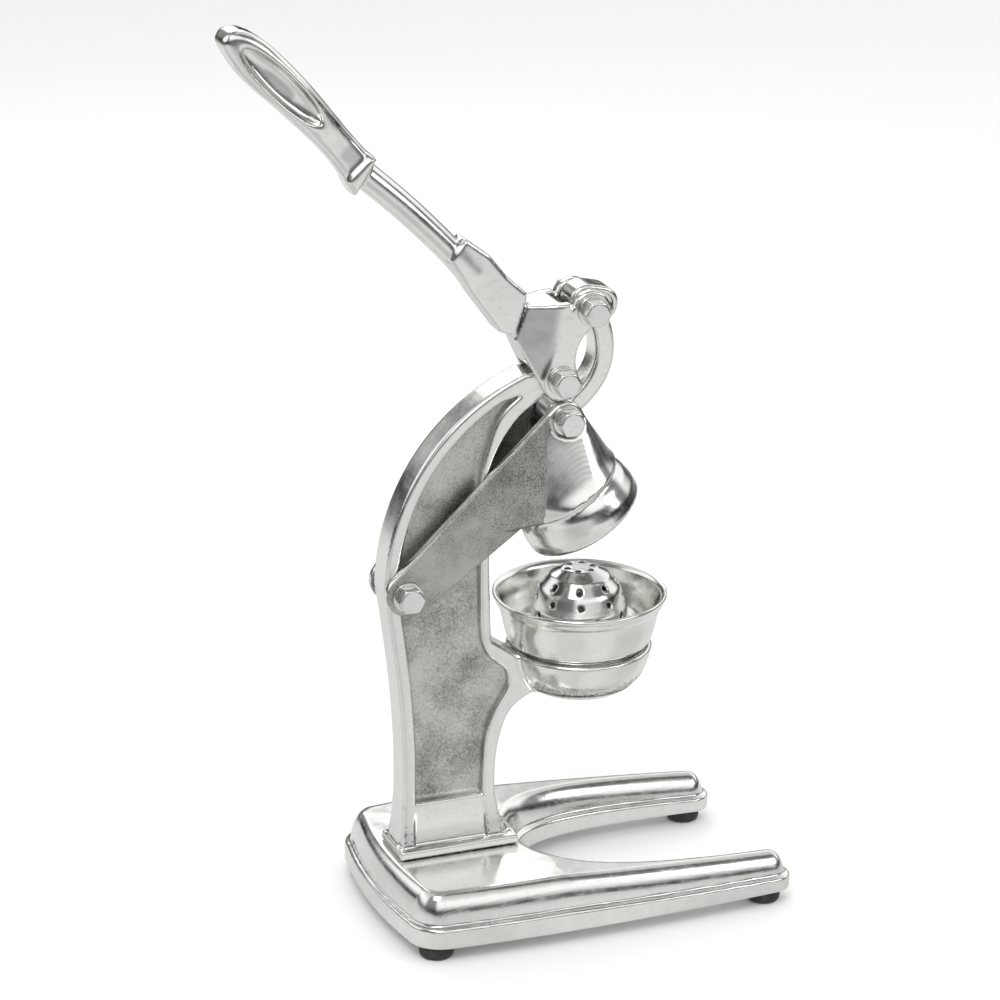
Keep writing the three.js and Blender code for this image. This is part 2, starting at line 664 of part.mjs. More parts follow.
// ---- pivot bolts, each with a head on the right, a nut on the left and a washer under each
function makePivot(name, pivot) {
  const [x, z] = pivot;
  const faceY = cheekOut + seatGap;
  const washerOut = faceY + washerThick;
  for (const [label, low] of [['right', -washerOut], ['left', faceY]]) {
    add(`washer_${label}_${name}`, pinY(pivot, washerRadius, low, low + washerThick, 20)
      .subtract(pinY(pivot, boltRadius + boltClear, low - 1, low + washerThick + 1, 14)), plated());
  }
  const seat = washerOut + seatGap;
  const hex = (low, high) => {
    const crown = hexAcross / 2 / Math.cos(Math.PI / 6);
    const block = pinY(pivot, crown, low, high, 6);
    const outward = low < 0 ? -1 : 1;
    const end = outward < 0 ? low : high;
    const cone = new THREE.CylinderGeometry(crown + 0.1, hexAcross / 2 - 0.3, 1.2, 12);
    if (outward > 0) cone.rotateX(Math.PI);
    cone.translate(x, end - outward * 0.6, z);
    const inner = pinY(pivot, crown + 1, Math.min(low, high) + (outward < 0 ? 1.2 : -1),
      Math.max(low, high) - (outward < 0 ? -1 : 1.2), 16);
    return block.intersect(solid(cone).add(inner));
  };
  const shankEnd = seat + nutHeight + boltTail;
  const shank = pinY(pivot, boltRadius, -seat - 1, shankEnd, 14);
  add(`bolt_${name}`, hex(-seat - boltHeadHeight, -seat).add(shank), plated());
  add(`nut_${name}`, hex(seat, seat + nutHeight)
    .subtract(pinY(pivot, boltRadius + boltClear, seat - 1, seat + nutHeight + 1, 14)), plated());
}

// ---- cup and strainer
function makeCup() {
  const innerRim = cupRimRadius - cupWall - 1.2;
  add('juice_cup', turned([
    [cupOutletRadius, cupFloorZ - cupWall], [cupSpigotRadius - 6, cupFloorZ - cupWall],
    [cupSpigotRadius - 2, cupFloorZ + 4], [cupSpigotRadius, cupStepZ], [cupStepRadius, cupStepZ],
    [cupStepRadius + 3.4, 164], [cupRimRadius - 3.2, cupRimZ - 7], [cupRimRadius - 0.8, cupRimZ - 3],
    [cupRimRadius, cupRimZ - 1.2], [cupRimRadius - 0.6, cupRimZ], [cupRimRadius - 2, cupRimZ],
    [innerRim, cupRimZ - 2], [innerRim - 2.4, cupRimZ - 10], [cupStepRadius + 0.6, 164],
    [cupStepRadius - 2, strainerFlangeZ + 2], [cupSpigotRadius - 0.4, strainerFlangeZ - 0.2],
    [cupSpigotRadius - 3.2, strainerFlangeZ - 0.6], [cupSpigotRadius - 4.6, cupFloorZ + 5],
    [cupSpigotRadius - 8, cupFloorZ], [cupOutletRadius, cupFloorZ - 0.8],
    [cupOutletRadius, cupFloorZ - cupWall],
  ], [cupX, 0]), polished());
}

// [radius, height share] down the dome: it rises in steps
const domeSteps = [[0.36, 1], [0.42, 0.97], [0.62, 0.9], [0.66, 0.86], [0.82, 0.74], [0.85, 0.7],
  [0.95, 0.5], [0.98, 0.45], [1.03, 0.04]];

function makeStrainer() {
  const rise = domeTopZ - strainerFlangeZ;
  const flangeRadius = cupSpigotRadius - 1;
  const out = domeSteps.map(([r, h]) => [r * domeRadius, strainerFlangeZ + h * rise]);
  const inside = out.map(([r, z]) => [r - strainerWall, z - strainerWall]);
  const floor = strainerFlangeZ + 0.1;
  let body = turned([
    [0, domeTopZ], ...out, [flangeRadius, floor + strainerWall], [flangeRadius, floor],
    [domeRadius * 1.03 - strainerWall, floor], ...inside.slice(0, -1).reverse(),
    [0, domeTopZ - strainerWall],
  ], [cupX, 0], 28);
  const rows = [[0.6, 9, 0.25], [0.4, 9, 0.75], [0.2, 9, 0.25]]; // [height share, holes, shift]
  for (const [share, count, shift] of rows) {
    const z = strainerFlangeZ + share * rise;
    for (let i = 0; i < count; i++) {
      const hole = new THREE.CylinderGeometry(strainerHoleRadius, strainerHoleRadius, 16, 6);
      hole.rotateZ(Math.PI / 2);
      hole.translate(domeRadius - 3, 0, 0);
      hole.rotateZ(((i + shift) / count) * Math.PI * 2);
      hole.translate(cupX, 0, z);
      body = body.subtract(solid(hole));
    }
  }
  for (let i = 0; i < 6; i++) {
    const t = (i / 6) * Math.PI * 2;
    body = body.subtract(pinZ([cupX + 0.48 * domeRadius * Math.cos(t), 0.48 * domeRadius * Math.sin(t)],
      strainerHoleRadius, domeTopZ - 12, domeTopZ + 2, 6));
  }
  add('strainer', body, stainless());
}

makeBase();
makeFeet();
makeColumnBolts();
makeFrame();
makeArm();
makeLink();
makeLever();
makePivot('arm_pivot', armPivot);
makePivot('lever_pivot', leverPivot);
makePivot('link_top', linkTopPivot);
makePivot('link_low', linkLowPivot);
makeCup();
makeStrainer();

// the origin is the middle of the underside
const extent = new THREE.Box3().setFromObject(citrusPress);
citrusPress.position.set(-(extent.min.x + extent.max.x) / 2, 0, -extent.min.z);

export default citrusPress;
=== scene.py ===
"""Builds the looks of a hand-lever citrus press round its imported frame, laid out as an add-on."""

import json
import math

import bmesh
import bpy
import numpy as np
from bpy.props import FloatProperty, FloatVectorProperty, IntProperty, PointerProperty
from mathutils import Matrix, Vector


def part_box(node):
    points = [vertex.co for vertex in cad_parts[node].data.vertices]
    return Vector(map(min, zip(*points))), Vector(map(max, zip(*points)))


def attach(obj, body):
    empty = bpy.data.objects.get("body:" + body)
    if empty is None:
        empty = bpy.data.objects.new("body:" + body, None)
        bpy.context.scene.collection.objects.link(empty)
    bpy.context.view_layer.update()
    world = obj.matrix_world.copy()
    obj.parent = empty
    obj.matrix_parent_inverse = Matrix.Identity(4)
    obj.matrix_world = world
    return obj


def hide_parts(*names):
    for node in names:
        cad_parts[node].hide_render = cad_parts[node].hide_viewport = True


bl_info = {
    "name": "Citrus press looks",
    "version": (1, 0, 0),
    "blender": (4, 5, 0),
    "location": "View3D > Sidebar > Citrus press",
    "description": "Makes the castings, cup, strainer and fasteners of a hand-lever citrus press",
    "category": "Object",
}

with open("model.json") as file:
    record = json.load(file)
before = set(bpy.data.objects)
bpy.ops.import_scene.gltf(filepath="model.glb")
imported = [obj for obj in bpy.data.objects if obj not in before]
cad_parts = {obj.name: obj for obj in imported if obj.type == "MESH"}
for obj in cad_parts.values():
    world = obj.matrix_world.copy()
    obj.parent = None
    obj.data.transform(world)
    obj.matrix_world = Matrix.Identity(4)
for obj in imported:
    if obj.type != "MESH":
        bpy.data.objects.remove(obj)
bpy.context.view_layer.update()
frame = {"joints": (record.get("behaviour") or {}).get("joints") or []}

MM = 0.001
JOINTS = {joint["name"]: joint for joint in frame["joints"]}
ARM_X = -50.0  # where the arm pivot stands in the drawing
SHIFT = JOINTS["arm_swing"]["pos_m"][0] / MM - ARM_X  # from the drawing to the frame

# ---- pivots as (x, z), and motion
ARM_PIVOT = (ARM_X, 200.5)
LEVER_PIVOT = (41.0, 316.0)
LINK_TOP = (58.0, 355.0)
LINK_LOW = (44.0, 293.0)
LEVER_TURN, ARM_RATIO = 96, 0.3354  # degrees, and how far the arm follows
ARM_TURN = math.radians(LEVER_TURN * ARM_RATIO)

# ---- base
BASE_REAR, BASE_FRONT, BASE_HALF = -68.0, 170.0, 75.0
TIP_RADIUS, BASE_CORNER, REAR_BULGE = 12.5, 20.0, 4.5
NOTCH_REAR, NOTCH_HALF = 29.0, 46.0
SKIRT_FOOT, SKIRT_TOP, BASE_TOP = 7.5, 20.6, 38.5
TIP_LOWERING = 0.3
FOOT_SPOTS = [
    (BASE_REAR + BASE_CORNER, BASE_HALF - 16),
    (BASE_FRONT - TIP_RADIUS - 3, (BASE_HALF - 5 + NOTCH_HALF) / 2)
]

# ---- frame, cup and arm
COLUMN_REAR, COLUMN_FRONT = -50.0, 4.0
FRAME_HALF, WEB_HALF = 10.0, 4.0
FLANGE, ARC_RADIUS, ARC_SPAN = 7.5, 127.0, math.radians(69.6)
BOSS_RADIUS = 12.0
ARC_CENTRE = (ARM_X + ARC_RADIUS - 10.5, 201.0)
PLATE_LOW, PLATE_TOP, PLATE_REAR, PLATE_FRONT, PLATE_HALF = 38.8, 44.3, -54.0, 18.0, 17.0
CUP_X, RIM_Z, RIM_RADIUS = 60.0, 184.0, 50.0
STEP_Z, STEP_RADIUS, SPIGOT_RADIUS = 154.5, 41.3, 37.4
CUP_FLOOR, CUP_WALL = 134.0, 2.6
HOLDER_TOP, HOLDER_FLOOR = 153.6, 126.0
HOLDER_RADIUS = STEP_RADIUS + 0.7
CHEEK_IN, CHEEK_OUT = 10.4, 16.4
BELL_RADIUS, BELL_WALL, BELL_HEIGHT, BELL_MOUTH, BELL_STRAIGHT = 35.0, 3.4, 46.0, 165.0, 22.0
DOME_RADIUS, DOME_TOP, STRAINER_Z = 27.8, 198.0, 157.0
BOLT_RADIUS, HEX_ACROSS, WASHER_RADIUS, WASHER_THICK = 4.0, 13.5, 8.6, 1.6
HEAD_HEIGHT, NUT_HEIGHT, BOLT_TAIL = 7.5, 6.8, 2.4
BOLT_CLEAR = 0.3
SEAT_GAP = 0.3
COLUMN_BOLT_X, COLUMN_HOLE, COLUMN_BOSS_DROP = (-38.0, 2.0), 3.3, 14.0
FOOT_HOLE, HOLDER_HOLE = 2.3, 17.0
LINK_HALF, LINK_BAND, LINK_EYE, LINK_BULGE = 8.5, 5.6, 9.5, 34.0
SLOT_ACROSS = 8.6


# ---- curves
def spline(points, steps):
    """Points on a smooth curve through the given points."""
    p = np.array(points, float)
    last = len(p) - 1
    out = []
    for t in np.linspace(0, last, steps + 1):
        i = min(int(t), last - 1)
        w = t - i
        before, start, end, after = p[max(i - 1, 0)], p[i], p[i + 1], p[min(i + 2, last)]
        v0, v1 = (end - before) / 2, (after - start) / 2
        out.append(
            (2 * start - 2 * end + v0 + v1) * w**3 + (3 * end - 3 * start - 2 * v0 - v1) * w**2 + v0 * w
            + start
        )
    return np.array(out)


def circle(centre, radius, steps=64):
    t = np.linspace(0, 2 * math.pi, steps, endpoint=False)
    return np.stack([centre[0] + radius * np.cos(t), centre[1] + radius * np.sin(t)], 1)


def hull_of(points):
    """The outline round a set of points in the plane."""
    ordered = sorted(map(tuple, points))

    def half(run):
        chain = []
        for x, y in run:
            while len(chain) > 1:
                (ox, oy), (ax, ay) = chain[-2:]
                if (ax - ox) * (y - oy) - (ay - oy) * (x - ox) > 1e-9:
                    break
                chain.pop()
            chain.append((x, y))
        return chain[:-1]

    return np.array(half(ordered) + half(ordered[::-1]))


# ---- distance fields: negative inside, in millimetres
def outline_distance(points, x, y):
    """Distance to a closed outline."""
    p = np.asarray(points, np.float32)
    near = np.full(np.broadcast(x, y).shape, 1e9, np.float32)
    inside = np.zeros(near.shape, bool)
    for a, b in zip(p, np.roll(p, -1, 0)):
        e = b - a
        wx, wy = x - a[0], y - a[1]
        t = np.clip((wx * e[0] + wy * e[1]) / max(float(e @ e), 1e-9), 0, 1)
        near = np.minimum(near, (wx - e[0] * t) ** 2 + (wy - e[1] * t) ** 2)
        rise = b[1] - a[1] if abs(b[1] - a[1]) > 1e-9 else 1e-9
        inside ^= ((a[1] > y) != (b[1] > y)) & (x < e[0] * (y - a[1]) / rise + a[0])
    return np.where(inside, -1, 1) * np.sqrt(near)


def both(a, b, r=0.0):
    """What two fields share, with its outer edge rounded."""
    if r <= 0:
        return np.maximum(a, b)
    u, v = np.maximum(a + r, 0), np.maximum(b + r, 0)
    return np.minimum(np.maximum(a, b), -r) + np.sqrt(u * u + v * v)


def either(a, b, r=0.0):
    """Two fields joined, with a fillet between them."""
    if r <= 0:
        return np.minimum(a, b)
    h = np.maximum(r - np.abs(a - b), 0) / r
    return np.minimum(a, b) - h * h * r / 4


def less(a, b, r=0.0):
    """The first field with the second cut from it, with the cut's edge rounded."""
    return -either(-a, b, r)


class Space:
    """A grid of sample points round a piece."""

    def __init__(self, low, high, step):
        self.step = step
        self.low = np.array(low, np.float32) - 2 * step
        counts = [int(math.ceil((h - l) / step)) + 5 for l, h in zip(low, high)]
        axes = [self.low[i] + step * np.arange(counts[i], dtype=np.float32) for i in range(3)]
        self.x = axes[0][:, None, None]
        self.y = axes[1][None, :, None]
        self.z = axes[2][None, None, :]
        self.shape = tuple(counts)

    def plate(self, points, half, r=0.0):
        """An outline in x and z, as thick as twice the half width along y."""
        side = outline_distance(points, self.x, self.z)
        return both(side, np.abs(self.y) - half, r)

    def slab(self, points, low, high, r=0.0):
        """An outline in x and y between two heights."""
        return both(outline_distance(points, self.x, self.y), np.maximum(low - self.z, self.z - high), r)

    def box(self, low, high, r=0.0):
        span = [
            (np.abs(axis - (l + h) / 2) - (h - l) / 2)
            for axis, l, h in zip((self.x, self.y, self.z), low, high)
        ]
        return both(both(span[0], span[1], r), span[2], r)

    def pin_y(self, centre, radius, low=-99.0, high=99.0, r=0.0):
        ring = np.hypot(self.x - centre[0], self.z - centre[1]) - radius
        return both(ring, np.maximum(low - self.y, self.y - high), r)

    def pin_z(self, centre, radius, low=-99.0, high=999.0, r=0.0):
        ring = np.hypot(self.x - centre[0], self.y - centre[1]) - radius
        return both(ring, np.maximum(low - self.z, self.z - high), r)

    def turned(self, profile, centre, tilt=0.0, about=(0.0, 0.0)):
        """A (radius, z) profile turned about an upright line, then tilted about a line along y."""
        cos, sin = math.cos(tilt), math.sin(tilt)
        dx, dz = self.x - about[0], self.z - about[1]
        x = about[0] + dx * cos - dz * sin
        z = about[1] + dx * sin + dz * cos
        radius = np.hypot(x - centre[0], self.y - centre[1])
        fine = self.step / 2
        r_axis = np.arange(-fine, float(radius.max()) + 3 * fine, fine, dtype=np.float32)
        z_axis = np.arange(float(z.min()) - fine, float(z.max()) + 3 * fine, fine, dtype=np.float32)
        table = outline_distance(profile, r_axis[:, None], z_axis[None, :]).astype(np.float32)
        u = np.broadcast_to((radius - r_axis[0]) / fine, self.shape)
        v = np.broadcast_to((z - z_axis[0]) / fine, self.shape)
        i, j = u.astype(int), v.astype(int)
        s, t = u - i, v - j
        return ((table[i, j] * (1 - s) + table[i + 1, j] * s) * (1 - t)
                + (table[i, j + 1] * (1 - s) + table[i + 1, j + 1] * s) * t)

    def hull(self, points, r=0.0):
        """The solid round a set of points in space."""
        mesh = bmesh.new()
        for p in points:
            mesh.verts.new(p)
        bmesh.ops.convex_hull(mesh, input=mesh.verts)
        planes = {tuple(round(v, 3) for v in (*f.normal, f.normal @ f.verts[0].co)) for f in mesh.faces}
        mesh.free()
        field = None
        for nx, ny, nz, offset in sorted(planes):
            side = nx * self.x + ny * self.y + nz * self.z - offset
            field = side if field is None else both(field, side, r)
        return field

    def tube(self, points, radii):
        """A round bar along points, its radius running from each to the next."""
        field = None
        for (a, ra), (b, rb) in zip(zip(points, radii), zip(points[1:], radii[1:])):
            a, b = np.array(a, float), np.array(b, float)
            e = b - a
            w = (self.x - a[0], self.y - a[1], self.z - a[2])
            t = np.clip((w[0] * e[0] + w[1] * e[1] + w[2] * e[2]) / (e @ e), 0, 1)
            gap = np.sqrt(
                (w[0] - e[0] * t) ** 2 + (w[1] - e[1] * t) ** 2 + (w[2] - e[2] * t) ** 2
            ) - (ra + (rb - ra) * t)
            field = gap if field is None else np.minimum(field, gap)
        return field

    def skin(self, field):
        """Corner points and four-sided faces of the field's surface."""
        field = np.broadcast_to(field, self.shape).astype(np.float32)
        cells = tuple(n - 1 for n in self.shape)
        total = np.zeros(cells + (3,), np.float32)
        count = np.zeros(cells, np.float32)
        edges = []
        for axis in range(3):
            low = [slice(None)] * 3
            high = [slice(None)] * 3
            low[axis], high[axis] = slice(0, -1), slice(1, None)
            f0, f1 = field[tuple(low)], field[tuple(high)]
            cross = (f0 < 0) != (f1 < 0)
            t = np.where(cross, f0 / np.where(cross, f0 - f1, 1), 0)
            edges.append((cross, f0 < 0))
            u, v = (axis + 1) % 3, (axis + 2) % 3
            for du in (0, 1):
                for dv in (0, 1):
                    at = [slice(None)] * 3
                    at[u], at[v] = slice(du, cells[u] + du), slice(dv, cells[v] + dv)
                    hit = cross[tuple(at)]
                    total[..., axis] += t[tuple(at)]
                    total[..., u] += du * hit
                    total[..., v] += dv * hit
                    count += hit
        used = count > 0
        number = np.full(cells, -1, np.int64)
        number[used] = np.arange(int(used.sum()))
        points = np.argwhere(used) + total[used] / count[used][:, None]
        faces = []
        for axis, (cross, inside) in enumerate(edges):
            u, v = (axis + 1) % 3, (axis + 2) % 3
            at = np.argwhere(cross)
            at = at[(at[:, u] > 0) & (at[:, u] < cells[u]) & (at[:, v] > 0) & (at[:, v] < cells[v])]
            eu, ev = np.eye(3, dtype=int)[u], np.eye(3, dtype=int)[v]
            ring = np.stack(
                [number[tuple((at - a * eu - b * ev).T)] for a, b in ((1, 1), (0, 1), (0, 0), (1, 0))], 1
            )
            flip = ~inside[tuple(at.T)]
            ring[flip] = ring[flip][:, ::-1]
            faces.append(ring)
        return self.low + points * self.step, np.concatenate(faces)


def relax(points, faces, rounds):
    """Evens out a surface without shrinking it."""
    a = faces.ravel()
    b = np.roll(faces, -1, 1).ravel()
    start, end = np.concatenate([a, b]), np.concatenate([b, a])
    count = np.bincount(start, minlength=len(points))[:, None]
    for i in range(2 * rounds):
        near = np.stack([np.bincount(start, points[end, k], len(points)) for k in range(3)], 1) / count
        points = points + (near - points) * (0.55 if i % 2 == 0 else -0.57)
    return points, faces


def mesh_piece(name, points, faces):
    """An object from points in the drawing's millimetres."""
    mesh = bpy.data.meshes.new(name)
    spots = (np.asarray(points, float) + [SHIFT, 0, 0]) * MM
    mesh.from_pydata(spots.tolist(), [], [list(map(int, f)) for f in faces])
    mesh.polygons.foreach_set("use_smooth", [True] * len(mesh.polygons))
    mesh.update()
    piece = bpy.data.objects.new(name, mesh)
    bpy.context.scene.collection.objects.link(piece)
    return piece


def paint(piece, name, values):
    """Keeps one number for each corner point, for the material to read."""
    layer = piece.data.attributes.new(name, "FLOAT", "POINT")
    layer.data.foreach_set("value", np.asarray(values, np.float32))


def lathe(name, profile, centre, steps=128, axis="z"):
    """A closed (radius, height) profile turned round an upright line, or one along y."""
    profile = np.array(profile, float)
    t = np.linspace(0, 2 * math.pi, steps, endpoint=False)
    rings = []
    for r, h in profile:
        if axis == "z":
            rings.append(
                np.stack([centre[0] + r * np.cos(t), centre[1] + r * np.sin(t), np.full(steps, h)], 1)
            )
        else:
            rings.append(
                np.stack([centre[0] + r * np.cos(t), np.full(steps, h), centre[1] - r * np.sin(t)], 1)
            )
    points = np.concatenate(rings)
    faces = []
    for k in range(len(profile)):
        a, b = k * steps, ((k + 1) % len(profile)) * steps
        for i in range(steps):
            j = (i + 1) % steps
            faces.append((a + i, a + j, b + j, b + i))
    piece = mesh_piece(name, points, faces)
    work = bmesh.new()
    work.from_mesh(piece.data)
    bmesh.ops.remove_doubles(work, verts=work.verts, dist=1e-6)
    bmesh.ops.recalc_face_normals(work, faces=work.faces)
    work.to_mesh(piece.data)
    work.free()
    piece.data.polygons.foreach_set("use_smooth", [True] * len(piece.data.polygons))
    return piece


def rounded(profile, radius, steps=4):
    """A closed profile with its corners rounded."""
    p = np.array(profile, float)
    out = []
    for i, corner in enumerate(p):
        before, after = p[i - 1], p[(i + 1) % len(p)]
        u, v = before - corner, after - corner
        lu, lv = np.linalg.norm(u), np.linalg.norm(v)
        if corner[0] < 1e-6 or lu < 1e-6 or lv < 1e-6:
            out.append(corner)
            continue
        reach = min(radius, lu * 0.45, lv * 0.45)
        a, b = corner + u / lu * reach, corner + v / lv * reach
        for t in np.linspace(0, 1, steps + 1):
            out.append((1 - t) ** 2 * a + 2 * t * (1 - t) * corner + t**2 * b)
    return np.array(out)


def settle(piece, material, body, slot, *nodes):
    """Gives a piece its material and its body, and hides the nodes it stands for."""
    piece.data.materials.append(shared(material))
    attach(piece, body)
    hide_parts(*nodes)


# ---- materials
def node_group(name, inputs, outputs):
    """An empty shader group with named sockets."""
    group = bpy.data.node_groups.new(name, "ShaderNodeTree")
    for label, kind, value in inputs:
        socket = group.interface.new_socket(label, in_out="INPUT", socket_type=kind)
        socket.default_value = value
    for label, kind in outputs:
        group.interface.new_socket(label, in_out="OUTPUT", socket_type=kind)
    return group, group.nodes.new("NodeGroupInput"), group.nodes.new("NodeGroupOutput")


def add_node(tree, kind, links=None, **values):
    """A node with its settings, and its inputs linked or set."""
    node = tree.nodes.new(kind)
    for key, value in values.items():
        setattr(node, key, value)
    for socket, source in (links or {}).items():
        if isinstance(source, bpy.types.NodeSocket):
            tree.links.new(source, node.inputs[socket])
        else:
            node.inputs[socket].default_value = source
    return node


def noise(tree, where, scale, detail=3.0, rough=0.5):
    """A noise value at a place."""
    node = add_node(
        tree, "ShaderNodeTexNoise",
        {"Vector": where, "Scale": scale, "Detail": detail, "Roughness": rough}
    )
    return node.outputs["Fac"]


def math_node(tree, kind, a, b=0.0, clamp=False):
    """The result of one sum on two values."""
    return add_node(tree, "ShaderNodeMath", {0: a, 1: b}, operation=kind, use_clamp=clamp).outputs[0]


def spread(tree, value, low, high, to_low, to_high):
    """Maps a value from one range to another, clamped."""
    node = add_node(
        tree, "ShaderNodeMapRange",
        {"Value": value, "From Min": low, "From Max": high, "To Min": to_low, "To Max": to_high}
    )
    return node.outputs["Result"]


def mix_colour(tree, share, a, b):
    """The first colour turning into the second."""
    node = add_node(tree, "ShaderNodeMix", {0: share, 6: a, 7: b}, data_type="RGBA")
    return node.outputs[2]


def polish_group():
    """Hand polishing: faint cloudiness, hairlines and a slow waver in the surface."""
    group, source, result = node_group(
        "hand_polish",
        [("Colour", "NodeSocketColor", (0.8, 0.8, 0.8, 1)), ("Roughness", "NodeSocketFloat", 0.1),
         ("Waver", "NodeSocketFloat", 0.1), ("Hairlines", "NodeSocketFloat", 0.1)],
        [("Colour", "NodeSocketColor"), ("Roughness", "NodeSocketFloat"), ("Normal", "NodeSocketVector")])
    where = add_node(group, "ShaderNodeTexCoord").outputs["Object"]
    slow = noise(group, where, 38, 2, 0.5)
    cloud = noise(group, where, 110, 4, 0.6)
    stretched = add_node(
        group, "ShaderNodeMapping",
        {"Vector": where, "Scale": (180, 2600, 420), "Rotation": (0.2, 0.5, 0.1)}
    ).outputs[0]
    hair = noise(group, stretched, 1.0, 3, 0.6)
    tint = spread(group, cloud, 0.3, 0.7, 0.0, 1.0)
    duller = add_node(
        group, "ShaderNodeHueSaturation", {"Value": 0.9, "Color": source.outputs["Colour"]}
    ).outputs[0]
    group.links.new(mix_colour(group, tint, duller, source.outputs["Colour"]), result.inputs["Colour"])
    lines = math_node(group, "MULTIPLY", spread(group, hair, 0.55, 0.75, 0, 1), source.outputs["Hairlines"])
    matt = math_node(
        group, "MULTIPLY", spread(group, cloud, 0.35, 0.75, 0.75, 1.45), source.outputs["Roughness"]
    )
    group.links.new(math_node(group, "ADD", matt, lines, True), result.inputs["Roughness"])
    wave = add_node(
        group, "ShaderNodeBump", {"Strength": source.outputs["Waver"], "Distance": 0.0016, "Height": slow}
    )
    fine = add_node(
        group, "ShaderNodeBump",
        {
            "Strength": math_node(group, "MULTIPLY", source.outputs["Hairlines"], 0.5),
            "Distance": 0.00003, "Height": hair, "Normal": wave.outputs[0]
        }
    )
    group.links.new(fine.outputs[0], result.inputs["Normal"])
    return group


def cast_group():
    """Sand-cast skin: grey mottling, pits and grain."""
    group, source, result = node_group(
        "sand_casting",
        [
            ("Colour", "NodeSocketColor", (0.5, 0.5, 0.48, 1)),
            ("Dark", "NodeSocketColor", (0.25, 0.25, 0.24, 1)), ("Grain", "NodeSocketFloat", 0.5)
        ],
        [("Colour", "NodeSocketColor"), ("Roughness", "NodeSocketFloat"), ("Normal", "NodeSocketVector")]
    )
    where = add_node(group, "ShaderNodeTexCoord").outputs["Object"]
    patches = noise(group, where, 28, 5, 0.6)
    specks = noise(group, where, 1100, 3, 0.7)
    grain = noise(group, where, 1500, 4, 0.7)
    pits = add_node(group, "ShaderNodeTexVoronoi", {"Vector": where, "Scale": 420.0}).outputs["Distance"]
    shade = math_node(
        group, "ADD", math_node(group, "MULTIPLY", patches, 0.62),
        math_node(group, "MULTIPLY", specks, 0.6)
    )
    group.links.new(
        mix_colour(
            group, spread(group, shade, 0.47, 0.69, 0, 1), source.outputs["Dark"],
            source.outputs["Colour"]
        ), result.inputs["Colour"]
    )
    group.links.new(spread(group, specks, 0.3, 0.7, 0.36, 0.58), result.inputs["Roughness"])
    height = math_node(
        group, "ADD", math_node(group, "MULTIPLY", grain, 0.6),
        math_node(group, "MULTIPLY", spread(group, pits, 0, 0.35, 0, 1), 0.5)
    )
    bump = add_node(
        group, "ShaderNodeBump",
        {"Strength": source.outputs["Grain"], "Distance": 0.00022, "Height": height}
    )
    group.links.new(bump.outputs[0], result.inputs["Normal"])
    return group


def new_material(name, metallic=1.0, **sockets):
    material = bpy.data.materials.new(name)
    material.use_nodes = True
    shader = material.node_tree.nodes["Principled BSDF"]
    shader.inputs["Metallic"].default_value = metallic
    for key, value in sockets.items():
        shader.inputs[key.replace("_", " ")].default_value = value
    return material, material.node_tree, shader


def colour_of(values):
    return (*values, 1.0)


def group_node(tree, group, **values):
    node = tree.nodes.new("ShaderNodeGroup")
    node.node_tree = group
    for key, value in values.items():
        node.inputs[key].default_value = value
    return node


def polished(name, colour, roughness, waver, hairlines):
    """Bright metal, with the hand polishing over it."""
    material, tree, shader = new_material(name)
    skin = group_node(
        tree, shared("hand_polish"), Colour=colour_of(colour), Roughness=roughness, Waver=waver,
        Hairlines=hairlines
    )
    for source, socket in (("Colour", "Base Color"), ("Roughness", "Roughness"), ("Normal", "Normal")):
        tree.links.new(skin.outputs[source], shader.inputs[socket])
    return material


def half_cast(name, bright, grey, dark, roughness, waver, grain):
    """Polished where the piece was ground, and as cast elsewhere."""
    material, tree, shader = new_material(name)
    shine = group_node(
        tree, shared("hand_polish"), Colour=colour_of(bright), Roughness=roughness, Waver=waver,
        Hairlines=0.12
    )
    skin = group_node(
        tree, shared("sand_casting"), Colour=colour_of(grey), Dark=colour_of(dark), Grain=grain
    )
    share = add_node(tree, "ShaderNodeAttribute", attribute_name="as_cast").outputs["Fac"]
    where = add_node(tree, "ShaderNodeTexCoord").outputs["Object"]
    ragged = math_node(tree, "ADD", share, spread(tree, noise(tree, where, 350, 3), 0.3, 0.7, -0.22, 0.22))
    mask = spread(tree, ragged, 0.35, 0.65, 0, 1)
    tree.links.new(
        mix_colour(tree, mask, shine.outputs["Colour"], skin.outputs["Colour"]),
        shader.inputs["Base Color"]
    )
    rough = add_node(
        tree, "ShaderNodeMix", {0: mask, 2: shine.outputs["Roughness"], 3: skin.outputs["Roughness"]}
    )
    tree.links.new(rough.outputs[0], shader.inputs["Roughness"])
    normal = add_node(
        tree, "ShaderNodeMix", {0: mask, 4: shine.outputs["Normal"], 5: skin.outputs["Normal"]},
        data_type="VECTOR"
    )
    tree.links.new(normal.outputs[1], shader.inputs["Normal"])
    return material


def rubber():
    """Black rubber with a little dust."""
    material, tree, shader = new_material("moulded_rubber", 0.0)
    where = add_node(tree, "ShaderNodeTexCoord").outputs["Object"]
    dust = noise(tree, where, 160, 4, 0.6)
    grain = noise(tree, where, 2400, 2, 0.5)
    colours = bpy.context.scene.press_colours
    dusty = tuple(c + 0.05 for c in colours.rubber)
    tree.links.new(
        mix_colour(
            tree, spread(tree, dust, 0.45, 0.8, 0, 1), colour_of(colours.rubber), colour_of(dusty)
        ), shader.inputs["Base Color"]
    )
    tree.links.new(spread(tree, dust, 0.3, 0.7, 0.5, 0.72), shader.inputs["Roughness"])
    bump = add_node(tree, "ShaderNodeBump", {"Strength": 0.3, "Distance": 0.0001, "Height": grain})
    tree.links.new(bump.outputs[0], shader.inputs["Normal"])
    return material


